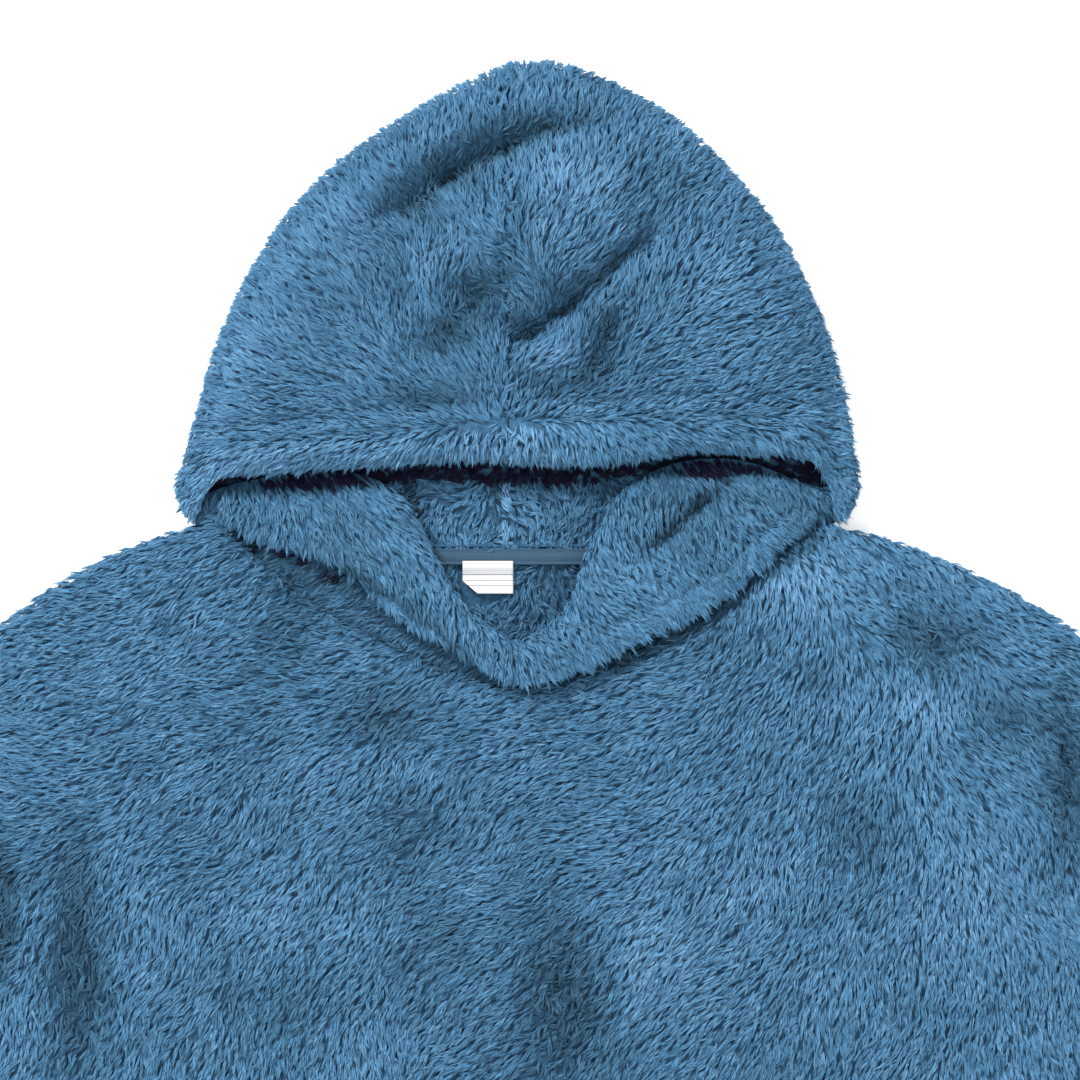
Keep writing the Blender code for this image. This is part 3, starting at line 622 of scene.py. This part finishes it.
def cloth_mesh(grids, wrap=False):
    """Closed thin sheets, each between a grid's ground points and its inner ones."""
    points, faces, base = [], [], 0
    for outer, inner in grids:
        rows, cols = outer.shape[:2]
        index = np.arange(2 * rows * cols).reshape(2, rows, cols) + base
        closed = np.concatenate([index, index[:, :, :1]], axis=2) if wrap else index
        for side, order in ((0, (0, 1, 2, 3)), (1, (3, 2, 1, 0))):
            a, b = closed[side, :-1, :-1], closed[side, :-1, 1:]
            c, d = closed[side, 1:, 1:], closed[side, 1:, :-1]
            quads = np.stack([a, b, c, d], axis=-1).reshape(-1, 4)
            faces.append(quads[:, list(order)])
        rims = [closed[:, 0], closed[:, -1, ::-1]]
        if not wrap:
            rims += [closed[:, ::-1, 0], closed[:, :, -1]]
        for rim in rims:
            faces.append(np.stack([rim[0, 1:], rim[0, :-1], rim[1, :-1], rim[1, 1:]], axis=-1))
        points.append(to_row_frame(np.concatenate([outer.reshape(-1, 3), inner.reshape(-1, 3)])))
        base += 2 * rows * cols
    return np.concatenate(points), np.concatenate(faces)


def placed(name, data):
    piece = bpy.data.objects.new(name, data)
    bpy.context.scene.collection.objects.link(piece)
    return piece


def write_mesh(name, points, faces, finish):
    mesh = bpy.data.meshes.new(name)
    mesh.from_pydata(points.tolist(), [], faces.tolist())
    mesh.shade_smooth()
    mesh.materials.append(finish)
    return placed(name, mesh)


def cloth(name, surfaces, finish, wrap=False):
    """A thin shell: each surface is a grid, its outward normals and its depth below the solid."""
    grids = []
    for grid, normals, depth in surfaces:
        ground = grid - normals * depth
        grids.append((ground, ground - normals * GROUND))
    points, faces = cloth_mesh(grids, wrap)
    return write_mesh(name, points, faces, finish)


def lie_of_body(x, y):
    """Direction of the pile on the body and sleeves, from the table of places."""
    total = np.zeros((len(x), 2))
    for lie in BODY_LIE:
        weight = 1 / (((x - lie.x) ** 2 + (y - lie.y) ** 2) / LIE_REACH**2 + 0.15) ** 2
        total += weight[:, None] * heading(np.radians(lie.angle))
    return np.arctan2(total[:, 1], total[:, 0]) + swirl(x, y, 0.22) + ruffled(x, y, body_shade(x, y))


def lip_line(x):
    """Height of the lip across the hood."""
    rows = HOOD_LEFT[::-1] + HOOD_RIGHT
    return np.interp(x, [row.lip_x for row in rows], [row.lip_y for row in rows])


def mouth_top(x):
    return np.interp(x, [slit.x for slit in MOUTH], [slit.top for slit in MOUTH])


def mouth_shade(x, y):
    """Painted shadow: dark in the slit and above it, under the lip."""
    bottom = mouth_top(x) - np.interp(x, [slit.x for slit in MOUTH], [slit.depth for slit in MOUTH])
    return SLIT_SHADE * smoothstep((y - bottom + 1.2) / 2.4)


def lie_of_crown(x, y):
    """Fanned out from above the mouth, down over the hem band, stirred up about the creases."""
    outwards = np.arctan2(y - 30, x + 3)
    above = y - lip_line(x) - HOOD_HEM
    steep = smoothstep(-above / 18)
    fan = np.clip((0.9 - 0.5 * steep) * x, -70 + 26 * steep, 70 - 26 * steep) * smoothstep(y / 26)
    down = np.radians(-90 + fan)
    share = smoothstep((4 - above) / 9)
    way = heading(outwards) * (1 - share)[:, None] + heading(down) * share[:, None]
    middle = np.exp(-(((x + 5) / 62) ** 2 + ((y - 118) / 50) ** 2))
    over_seam = np.sin(2.1 * y) * bell(x - CROWN_SEAM_X, 3.5)
    stirred = ruffled(x, y, painted_shade_and_tone(x, y, CROWN_PATCHES, CROWN_LINES))
    turns = swirl(x, y, 0.16) + swirl(y, x, 0.8) * middle
    return np.arctan2(way[:, 1], way[:, 0]) + turns + over_seam + stirred


def lie_of_outline(x, y):
    """Turned down along the hood's outline, so that the edge stays even."""
    return np.arctan2(y - 30, x + 3) - np.radians(52) * np.tanh((x - CROWN_SEAM_X) / 25) + swirl(x, y, 0.1)


def lie_of_turned_left(x, y):
    across = np.clip((y + 0.5 * (x + 110)) / 45, 0, 1)
    return np.radians(-78 + 38 * across) + swirl(x, y, 0.25)


def lie_of_turned_right(x, y):
    return np.radians(-62) + swirl(x, y, 0.35)


def lie_inside(x, y):
    return np.radians(-100 + 0.5 * x) + swirl(1.7 * x, 1.7 * y, 0.9)


def swirl(x, y, amount):
    """Slow turns of the pile's direction, in radians."""
    return amount * (np.sin(x / 17 + 2 * np.sin(y / 29)) + np.sin(y / 13 - x / 31)
                     + 0.6 * np.sin((x + y) / 9)) / 1.6


def ruffled(x, y, shade):
    """Turns within a few millimetres where the pile is dark, in radians."""
    amount = np.clip(-shade - 0.25, 0, 0.8)
    return amount * (np.sin(x / 2.3 + 2 * np.sin(y / 3.1)) + np.sin(y / 2.7 - 1.5 * np.sin(x / 4.1)))


def painted_shade_and_tone(x, y, patches, lines):
    """Painted shade and light of the patches and lines at each place, with the pile's own cloudy and
    mottled tone added.
    """
    total = relief(lines, x, y)
    for patch in patches:
        near = ((x - patch.x) / patch.reach_x) ** 2 + ((y - patch.y) / patch.reach_y) ** 2
        total = total + patch.shade * np.exp(-near)
    cloudy = np.sin(x / 23 + 1.3 * np.sin(y / 19)) * np.sin(y / 27 + 1.7 * np.sin(x / 31))
    mottled = np.sin(x / 9 + 2.1 * np.sin(y / 12)) * np.sin(y / 7 - 1.4 * np.sin(x / 11))
    return np.maximum(total + CLOUDS * cloudy + MOTTLE * mottled, DARKEST)


# painted shade and light of the body's folds, creases and seams, with the pile's own tone
def body_shade(x, y):
    return painted_shade_and_tone(x, y, BODY_PATCHES, BODY_LINES)


def crown_shade(x, y):
    """Painted shade and light over the crown: lighter on the hem band along the lip, where it swells,
    towards the left and darker towards the right, and painted shade in the furrow over it.
    """
    above = y - lip_line(x) - HOOD_HEM
    band = 0.25 * smoothstep(x / 60) - 0.15
    furrow = 0.35 * bell(above, 2.5)
    return painted_shade_and_tone(x, y, CROWN_PATCHES, CROWN_LINES) - furrow - band * smoothstep(-above / 4)


# painted shade on the turned-out fronts: darker overall and more so towards the mouth, where they run under
# the lip, with painted shade along their creases and in the slit
def turned_shade(lines):
    def shade(x, y):
        upper = 0.25 * smoothstep((y + 0.5 * abs(x)) / 40)
        return painted_shade_and_tone(x, y, [], lines) - 0.08 - upper + mouth_shade(x, y)
    return shade


def ledge_shade(x, y):
    """In the shadow of the free edge above it."""
    return np.maximum(body_shade(x, y) - 0.24, DARKEST) + relief(LEDGE_LINES, x, y)


def plain_shade(x, y):
    return painted_shade_and_tone(x, y, [], [])


def inside_shade(x, y):
    """Painted shade on the inner face: darker below the tape, to the right and up under the lip, with the
    seam's painted light and shade.
    """
    # painted light on the raised seam and painted shade beside it
    seam = relief(INSIDE_SEAM_LIGHT_AND_SHADE, x, y) * (y > TAPE_TOP_Y)
    below = 0.5 * smoothstep((TAPE_TOP_Y - y) / 8)
    beside = relief(INSIDE_LINES, x, y) - 0.3 * smoothstep((x - 4) / 16)
    return seam - below + beside + mouth_shade(x, y)


def scatter(grid, normals, tufts, rng, keep=None):
    """Places spread evenly over a grid's cells, with their normals."""
    a, b = grid[:-1, :-1], grid[:-1, 1:]
    c, d = grid[1:, 1:], grid[1:, :-1]
    area = 0.5 * np.linalg.norm(np.cross(c - a, d - b), axis=-1)
    if keep is not None:
        middle = (a + b + c + d) / 4
        area = area * keep(middle[..., 0], middle[..., 1])
    total = np.cumsum(area.ravel())
    count = int(total[-1] * tufts)
    cell = np.searchsorted(total, (np.arange(count) + rng.random(count)) / count * total[-1])
    row, col = np.unravel_index(np.minimum(cell, area.size - 1), area.shape)
    u = rng.random(count)[:, None]
    v = rng.random(count)[:, None]

    def blend(values):
        return ((values[row, col] * (1 - u) + values[row, col + 1] * u) * (1 - v)
                + (values[row + 1, col] * (1 - u) + values[row + 1, col + 1] * u) * v)

    return blend(grid), unit(blend(normals))


def hairs(places, normals, lie, shading, pile, rng, upward=0.6, droop=0.0):
    """Points of every hair, and every hair's own shade."""
    count = len(places)
    normals = unit(normals + np.array([0, 0, upward]))
    angle = lie(places[:, 0], places[:, 1]) + np.radians(pile.lean) * rng.standard_normal(count)
    way = np.stack([np.cos(angle), np.sin(angle), np.full(count, -droop)], axis=-1)
    way = unit(way - (way * normals).sum(-1, keepdims=True) * normals)
    side = np.cross(normals, way)
    length = pile.length * (0.75 + 0.5 * rng.random(count))
    height = pile.height * (0.55 + 0.75 * rng.random(count))
    bend = 1.1 * rng.standard_normal(count)
    shown = places + SHOWN * length[:, None] * way
    shade = shading(shown[:, 0], shown[:, 1]) + TUFT_NOISE * rng.standard_normal(count)
    shape = (count, pile.hairs, 1)

    def each(values):
        return values.reshape(count, 1, -1)

    round_it = 2 * np.pi * rng.random(shape)
    off = pile.spread * np.sqrt(rng.random(shape))
    root = off * (np.cos(round_it) * each(way) + np.sin(round_it) * each(side))
    tip = 0.45 * root + each(side) * 0.5 * rng.standard_normal(shape)
    long = each(length) * (0.8 + 0.35 * rng.random(shape))
    tall = each(height) * (0.7 + 0.5 * rng.random(shape))
    roll = np.radians(38) * rng.standard_normal(shape)
    flat = np.cos(roll) * each(side) + np.sin(roll) * each(normals)
    wide = pile.width * (0.7 + 0.6 * rng.random(shape))
    strips = []
    for reach, lift, breadth in STATIONS[pile.stations]:
        middle = (each(places) + root * (1 - reach) + tip * reach + each(way) * long * reach
                  + each(normals) * tall * lift + each(side) * each(bend) * reach**2)
        if breadth:
            strips += [middle - flat * wide * breadth / 2, middle + flat * wide * breadth / 2]
        else:
            strips.append(middle)
    points = np.stack(strips, axis=2).reshape(-1, len(strips), 3)
    points[..., 2] = np.maximum(points[..., 2], 0.2)
    each_hair = shade[:, None] + HAIR_NOISE * rng.standard_normal((count, pile.hairs))
    return points, each_hair.reshape(-1)


def write_pile(name, grown, stations, finish):
    """One mesh of all hairs, pointed strips with their own place in the bake's map."""
    points = np.concatenate([g[0] for g in grown])
    shade = np.concatenate([g[1] for g in grown])
    count, each = points.shape[:2]
    corners = [0, 1, 2]
    sizes = [3]
    for k in range(1, stations - 1):
        corners += [2 * k - 1, 2 * k + 1, 2 * k + 2, 2 * k]
        sizes.append(4)
    corners += [each - 3, each - 1, each - 2]
    sizes.append(3)
    loops = (np.arange(count)[:, None] * each + np.array(corners)).ravel()
    starts = np.concatenate([[0], np.cumsum(sizes)[:-1]])
    mesh = bpy.data.meshes.new(name)
    mesh.vertices.add(count * each)
    mesh.vertices.foreach_set("co", to_row_frame(points).astype(np.float32).ravel())
    mesh.loops.add(len(loops))
    mesh.loops.foreach_set("vertex_index", loops.astype(np.int32))
    mesh.polygons.add(count * len(sizes))
    loop_start = (np.arange(count)[:, None] * len(corners) + starts).ravel()
    mesh.polygons.foreach_set("loop_start", loop_start.astype(np.int32))
    mesh.update(calc_edges=True)
    mesh.shade_smooth()
    along = np.array([0.0] + [s[0] for s in STATIONS[stations][1:-1] for _ in (0, 1)] + [1.0])
    tint = np.ones((count, each, 4), np.float32)
    tint[..., 0] = along
    tint[..., 1] = np.clip(TINT_PLAIN + TINT_RANGE * shade, 0, 1)[:, None]
    mesh.attributes.new("pile", "FLOAT_COLOR", "POINT").data.foreach_set("color", tint.ravel())
    grid = int(np.ceil(np.sqrt(count)))
    cell = np.stack([np.arange(count) % grid, np.arange(count) // grid], axis=-1)
    across = np.array([0.5] + [0.15, 0.85] * (stations - 1) + [0.5])
    inside = np.stack([across, 0.1 + 0.8 * along], axis=-1)
    places = (cell[:, None] + inside[np.array(corners)]) / grid
    mesh.uv_layers.new(name="OFBake").uv.foreach_set("vector", places.astype(np.float32).ravel())
    mesh.materials.append(finish)
    piece = placed(name, mesh)
    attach(piece, "root")
    return piece


def nodes_of(name):
    finish = bpy.data.materials.new(name)
    finish.use_nodes = True
    tree = finish.node_tree
    return finish, tree.nodes, tree.links, tree.nodes["Principled BSDF"]


def ramp(nodes, links, value, stops):
    made = nodes.new("ShaderNodeValToRGB")
    for stop in range(len(stops) - 2):
        made.color_ramp.elements.new(0.5)
    for element, (place, colour) in zip(made.color_ramp.elements, stops):
        element.position = place
        element.color = (*colour, 1)
    links.new(value, made.inputs["Fac"])
    return made.outputs["Color"]


def multiplied(nodes, links, first, second):
    mix = nodes.new("ShaderNodeMix")
    mix.data_type = "RGBA"
    mix.blend_type = "MULTIPLY"
    mix.inputs["Factor"].default_value = 1.0
    links.new(first, mix.inputs[6])
    links.new(second, mix.inputs[7])
    return mix.outputs[2]


def pile_finish():
    """Hairs in their tint, with painted shade darker towards the root."""
    finish, nodes, links, shader = nodes_of("plush_pile")
    tint = nodes.new("ShaderNodeAttribute")
    tint.attribute_name = "pile"
    parts = nodes.new("ShaderNodeSeparateColor")
    links.new(tint.outputs["Color"], parts.inputs["Color"])
    colour = ramp(nodes, links, parts.outputs["Green"], PILE_TINTS)
    # painted shade towards each hair's root
    fade = ramp(nodes, links, parts.outputs["Red"], PILE_ROOT_SHADE)
    links.new(multiplied(nodes, links, colour, fade), shader.inputs["Base Color"])
    shader.inputs["Roughness"].default_value = 0.62
    shader.inputs["Specular IOR Level"].default_value = 0.15
    shader.inputs["Sheen Weight"].default_value = 0.12
    shader.inputs["Sheen Roughness"].default_value = 0.4
    shader.inputs["Sheen Tint"].default_value = (0.35, 0.65, 1.0, 1)
    return finish


def ground_finish():
    """The knit ground under the pile: dark blue with stubble in its bump."""
    finish, nodes, links, shader = nodes_of("plush_ground")
    place = nodes.new("ShaderNodeTexCoord").outputs["Object"]
    stubble = nodes.new("ShaderNodeTexNoise")
    stubble.inputs["Scale"].default_value = 420.0
    stubble.inputs["Detail"].default_value = 4.0
    links.new(place, stubble.inputs["Vector"])
    clouds = nodes.new("ShaderNodeTexNoise")
    clouds.inputs["Scale"].default_value = 22.0
    links.new(place, clouds.inputs["Vector"])
    fine = ramp(nodes, links, stubble.outputs["Fac"], GROUND_TINTS)
    slow = ramp(nodes, links, clouds.outputs["Fac"], GROUND_CLOUDS)
    links.new(multiplied(nodes, links, fine, slow), shader.inputs["Base Color"])
    bump = nodes.new("ShaderNodeBump")
    bump.inputs["Strength"].default_value = 0.8
    bump.inputs["Distance"].default_value = 0.0012
    links.new(stubble.outputs["Fac"], bump.inputs["Height"])
    links.new(bump.outputs["Normal"], shader.inputs["Normal"])
    shader.inputs["Roughness"].default_value = 0.95
    shader.inputs["Specular IOR Level"].default_value = 0.1
    return finish


def woven_finish(name, dark, light, threads, sheen, rules=None):
    """A plain weave of threads a millimetre, with printed grey rules at the heights given."""
    finish, nodes, links, shader = nodes_of(name)
    place = nodes.new("ShaderNodeTexCoord").outputs["Object"]
    waves = []
    for direction in ("X", "Y"):
        wave = nodes.new("ShaderNodeTexWave")
        wave.bands_direction = direction
        wave.inputs["Scale"].default_value = threads / MM / WAVE_STRIPES
        wave.inputs["Distortion"].default_value = 0.6
        links.new(place, wave.inputs["Vector"])
        waves.append(wave.outputs["Fac"])
    weave = nodes.new("ShaderNodeMath")
    weave.operation = "MULTIPLY"
    links.new(waves[0], weave.inputs[0])
    links.new(waves[1], weave.inputs[1])
    colour = ramp(nodes, links, weave.outputs[0], [(0.0, dark), (0.6, light)])
    for low, high in rules or []:
        colour = rule(nodes, links, place, colour, low, high)
    links.new(colour, shader.inputs["Base Color"])
    bump = nodes.new("ShaderNodeBump")
    bump.inputs["Strength"].default_value = 0.5
    bump.inputs["Distance"].default_value = 0.0002
    links.new(weave.outputs[0], bump.inputs["Height"])
    links.new(bump.outputs["Normal"], shader.inputs["Normal"])
    shader.inputs["Roughness"].default_value = 0.7
    shader.inputs["Sheen Weight"].default_value = sheen
    return finish


def rule(nodes, links, place, colour, low, high):
    """Grey between two heights of Y, in metres."""
    parts = nodes.new("ShaderNodeSeparateXYZ")
    links.new(place, parts.inputs[0])
    middle = nodes.new("ShaderNodeMath")
    middle.operation = "COMPARE"
    middle.inputs[1].default_value = (low + high) / 2
    middle.inputs[2].default_value = (high - low) / 2
    links.new(parts.outputs["Y"], middle.inputs[0])
    mix = nodes.new("ShaderNodeMix")
    mix.data_type = "RGBA"
    links.new(middle.outputs[0], mix.inputs["Factor"])
    links.new(colour, mix.inputs[6])
    mix.inputs[7].default_value = RULE_GREY
    return mix.outputs[2]


def grow(grid, normals, pile, lie, shading, rng, keep=None, share=1.0, **bearing):
    """Hairs of one kind, scattered over a grid."""
    places, ups = scatter(grid, normals, pile.tufts * share, rng, keep)
    return hairs(places, ups, lie, shading, pile, rng, **bearing)


def in_frame(x, y):
    return ((y > PHOTO_CENTRE[1] - FRAME_HALF) * (abs(x - PHOTO_CENTRE[0]) < FRAME_HALF)).astype(float)


def out_of_frame(x, y):
    return 1 - in_frame(x, y)


def front_pieces(finish, pile):
    rng = np.random.default_rng(SEED)
    grid = front_surface()
    up = outward(grid, slice(None))
    piece = cloth("front_cloth", [(grid, up, PILE_DEPTH)], finish)
    ground = grid - up * PILE_DEPTH
    for name, low, high in PILE_BANDS:
        hair = grow(ground, up, LONG, lie_of_body, body_shade, rng,
                    lambda x, y: in_frame(x, y) * (x >= low) * (x < high))
        write_pile("front_pile_" + name, [hair], LONG.stations, pile)
    hair = grow(ground, up, SPARSE, lie_of_body, body_shade, rng, out_of_frame)
    write_pile("front_pile_low", [hair], SPARSE.stations, pile)
    dress(piece, "body_front")


def under_label(x, y):
    """Where the label lies close on the back, so that no hair stands through it."""
    across = abs(x - LABEL_X - LABEL_WIDTH / 2) < LABEL_WIDTH / 2 - 1
    return across * (y < LABEL_TOP_Y) * (y > LABEL_TOP_Y - LABEL_LENGTH + 1)


def in_neckline(x, y):
    return (abs(x) < BACK_SHOWN_HALF) * (y > BACK_SHOWN_LOW) * (1.0 - under_label(x, y))


def back_pieces(finish, pile):
    rng = np.random.default_rng(SEED + 1)
    grid = back_surface()
    down = -outward(grid, slice(None))
    piece = cloth("back_cloth", [(grid, down, PILE_DEPTH)], finish)
    ground = grid - down * PILE_DEPTH
    kept = (UNDER_MARGIN, UNDER_MARGIN)
    under = grow(ground[kept], down[kept], UNDER, lie_of_body, plain_shade, rng, upward=-0.2)
    inner = ground - down * GROUND
    inside = grow(inner, -down, INSIDE, lie_inside, inside_shade, rng, in_neckline)
    grown = [write_pile("back_pile_under", [under], UNDER.stations, pile),
             write_pile("back_pile_inside", [inside], INSIDE.stations, pile)]
    dress(piece, "body_back")


def sleeve_pieces(name, side, finish, pile):
    rng = np.random.default_rng(SEED + 2 + side)
    grid = sleeve_surface(side)
    half = grid.shape[1] // 2
    normals = outward(grid, slice(8, half - 8), wrap=True)
    piece = cloth(name + "_cloth", [(grid, normals, PILE_DEPTH)], finish, wrap=True)
    ground = grid - normals * PILE_DEPTH
    top = np.s_[:, :half]
    over = grow(ground[top], normals[top], SPARSE, lie_of_body, body_shade, rng, out_of_frame, SLEEVE_SHARE)
    fine = grow(ground[top], normals[top], LONG, lie_of_body, body_shade, rng, in_frame)
    bottom = np.s_[2:-2, half + 7:-7]
    under = grow(ground[bottom], normals[bottom], UNDER, lie_of_body, plain_shade, rng, upward=-0.2)
    grown = [write_pile(name + "_pile", [over, fine, under], SPARSE.stations, pile)]
    dress(piece, name)


def in_mouth(x, y):
    return (y < HOOD_SHOWN_TOP) * (abs(x) < HOOD_SHOWN_HALF) * 1.0


def crown_pile(crown, normals, rng):
    """The pile outside the hood's crown, and the pile under and inside it."""
    ground = crown - normals * PILE_DEPTH
    rolled = np.s_[:, CROWN_LOW - 1:CROWN_LOW + CROWN_ROLL + 1]
    outline = grow(ground[rolled], normals[rolled], SHORT, lie_of_outline, crown_shade, rng,
                   upward=1.0, droop=0.4)
    over = np.s_[:, CROWN_LOW + CROWN_ROLL:]
    top = grow(ground[over], normals[over], LONG, lie_of_crown, crown_shade, rng)
    inner = np.s_[:, :CROWN_LOW - 2]
    under = grow(ground[inner], normals[inner], UNDER, lie_of_crown, plain_shade, rng, upward=-0.2)
    within = ground - normals * GROUND
    within[..., 2] += relief([INSIDE_RIDGE], within[..., 0], within[..., 1])
    low = np.s_[:, :CROWN_LOW]
    inside = grow(within[low], -normals[low], INSIDE, lie_inside, inside_shade, rng, in_mouth)
    return [outline, top], [under, inside]


def hood_pieces(name, crown_rows, turn_rows, lie_turned, lines, seed, finish, pile):
    rng = np.random.default_rng(SEED + seed)
    crown = np.array([crown_section(row) for row in smooth_rows(crown_rows, ROW_STEPS)])
    crown_normals = outward(crown, slice(CROWN_LOW + CROWN_ROLL + 5, -8))
    turned = np.array([turned_section(row) for row in smooth_rows(turn_rows, ROW_STEPS)])
    turned_normals = outward(turned, slice(TURN_LOW_POINTS + TURN_FOLD_POINTS + 3, -4))
    surfaces = [(crown, crown_normals, PILE_DEPTH), (turned, turned_normals, 0.0)]
    piece = cloth(name + "_cloth", surfaces, finish)
    over_crown, inside_crown = crown_pile(crown, crown_normals, rng)
    upper = np.s_[:, TURN_LOW_POINTS:]
    shade = turned_shade(lines)
    top = grow(turned[upper], turned_normals[upper], LONG, lie_turned, shade, rng)
    ledge = np.s_[:, :TURN_LOW_POINTS // 2 + 2]
    seam_strip = grow(turned[ledge], -turned_normals[ledge], LONG, lie_of_body, ledge_shade, rng)
    edge = np.s_[:, -7:]
    ground = crown - crown_normals * PILE_DEPTH
    lip = grow(ground[edge], crown_normals[edge], FRINGE, lie_of_crown, crown_shade, rng,
               upward=2.5, droop=0.15)
    edge = np.s_[:, -5:]
    free_edge = grow(turned[edge], turned_normals[edge], FRINGE, lie_turned, shade, rng,
                     upward=1.5, droop=0.1)
    grown = [
        write_pile(name + "_pile", over_crown, LONG.stations, pile),
        write_pile(name + "_pile_inside", inside_crown, INSIDE.stations, pile),
        write_pile(name + "_pile_turned", [top, seam_strip], LONG.stations, pile),
        write_pile(name + "_pile_edges", [lip, free_edge], FRINGE.stations, pile),
    ]
    dress(piece, name)


def dress(piece, node):
    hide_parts(node)
    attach(piece, "root")


def neck_tape_piece(finish):
    low = WALL + SEAM
    across = np.linspace(-TAPE_HALF, TAPE_HALF, 60)
    inset = np.array([0.0, 0.3, 0.8, 1.5, 2.2, 4.0, 5.8, 6.5, 7.2, 7.7, TAPE_WIDTH])
    stitched = 0.55 * (bell(inset - 1.5, 0.5) + bell(inset - 6.5, 0.5))
    rounded = 0.5 * rounded_off(np.minimum(inset, TAPE_WIDTH - inset) / 0.8)
    x, y = np.meshgrid(across, TAPE_TOP_Y - inset)
    ripple = 0.12 * np.sin(x / 2.3) * (np.cos(y * 0.8))
    top = low + TAPE_THICK - (rounded + stitched)[:, None] + ripple
    outer = np.stack([x, y, top], axis=-1)
    inner = np.stack([x, y, np.full_like(x, low)], axis=-1)
    points, faces = cloth_mesh([(outer, inner)])
    piece = write_mesh("neck_tape_cloth", points, faces, finish)
    dress(piece, "neck_tape")


def label_piece(finish):
    on_tape = WALL + SEAM + TAPE_THICK + SEAM
    on_back = WALL + 2 * SEAM
    u, v = np.meshgrid(np.linspace(0, 1, 34), np.linspace(0, 1, 24))
    distance = LABEL_LENGTH * v
    height = on_back + (on_tape - on_back) * (1 - smoothstep((distance - 3.0) / 4.0))
    height = height + LABEL_LIFT * smoothstep((distance - 9.0) / 7.5) + 0.25 * np.sin(7 * u) * v
    x = LABEL_X + LABEL_WIDTH * u
    y = LABEL_TOP_Y - distance
    clipped = np.clip(0.30 - u, 0, 1) / 0.30 * 6.5
    y = np.maximum(y, LABEL_TOP_Y - LABEL_LENGTH + clipped)
    y = np.minimum(y, LABEL_TOP_Y)
    low = np.stack([x, y, height], axis=-1)
    high = low + np.array([0, 0, LABEL_THICK])
    points, faces = cloth_mesh([(high, low)])
    piece = write_mesh("label_cloth", points, faces, finish)
    dress(piece, "label")


def floor():
    corners = [(x * FLOOR_HALF, y * FLOOR_HALF, 0) for x, y in ((-1, -1), (1, -1), (1, 1), (-1, 1))]
    mesh = bpy.data.meshes.new("floor")
    mesh.from_pydata(corners, [], [(0, 1, 2, 3)])
    finish, _, _, shader = nodes_of("floor")
    shader.inputs["Base Color"].default_value = (0.93, 0.93, 0.93, 1)
    shader.inputs["Roughness"].default_value = 0.9
    shader.inputs["Emission Color"].default_value = (1, 1, 1, 1)
    shader.inputs["Emission Strength"].default_value = FLOOR_GLOW
    mesh.materials.append(finish)
    piece = placed("floor", mesh)
    piece.location.z = -FLOOR_DROP


def area_light(lamp):
    light = bpy.data.lights.new(lamp.name, "AREA")
    light.shape = "DISK"
    light.size = lamp.size
    light.energy = lamp.power
    piece = placed(lamp.name, light)
    piece.location = lamp.place
    direction = Vector(lamp.aim) - Vector(lamp.place)
    piece.rotation_euler = direction.to_track_quat("-Z", "Y").to_euler()


def studio():
    floor()
    for lamp in LAMPS:
        area_light(lamp)
    world = bpy.data.worlds.new("studio")
    world.use_nodes = True
    background = world.node_tree.nodes["Background"]
    background.inputs["Color"].default_value = (1.0, 1.0, 1.0, 1)
    background.inputs["Strength"].default_value = SKY
    bpy.context.scene.world = world
    bpy.context.scene.view_settings.view_transform = "Standard"


def camera():
    data = bpy.data.cameras.new("camera")
    data.sensor_width = SENSOR
    data.lens = SENSOR * CAMERA_ABOVE / (PHOTO_SIZE * PIXEL)
    piece = placed("camera", data)
    place = np.array([*PHOTO_CENTRE, VIEW_HEIGHT + CAMERA_ABOVE]) + ORIGIN
    piece.location = place * MM
    bpy.context.scene.camera = piece


def main():
    ground = ground_finish()
    pile = pile_finish()
    front_pieces(ground, pile)
    back_pieces(ground, pile)
    sleeve_pieces("sleeve_left", -1, ground, pile)
    sleeve_pieces("sleeve_right", 1, ground, pile)
    hood_pieces("hood_left", HOOD_LEFT, TURN_LEFT, lie_of_turned_left, TURNED_LEFT_LINES, 5,
                ground, pile)
    hood_pieces("hood_right", HOOD_RIGHT, TURN_RIGHT, lie_of_turned_right, TURNED_RIGHT_LINES, 6,
                ground, pile)
    neck_tape_piece(woven_finish("neck_tape", TAPE_DARK, TAPE_LIGHT, 2.0, 0.1))
    label_y = LABEL_TOP_Y + ORIGIN[1]
    rules = [((label_y - low) * MM, (label_y - high) * MM) for low, high in LABEL_RULES]
    label_piece(woven_finish("label", LABEL_DARK, LABEL_LIGHT, 3.0, 0.1, rules))
    studio()
    camera()


main()
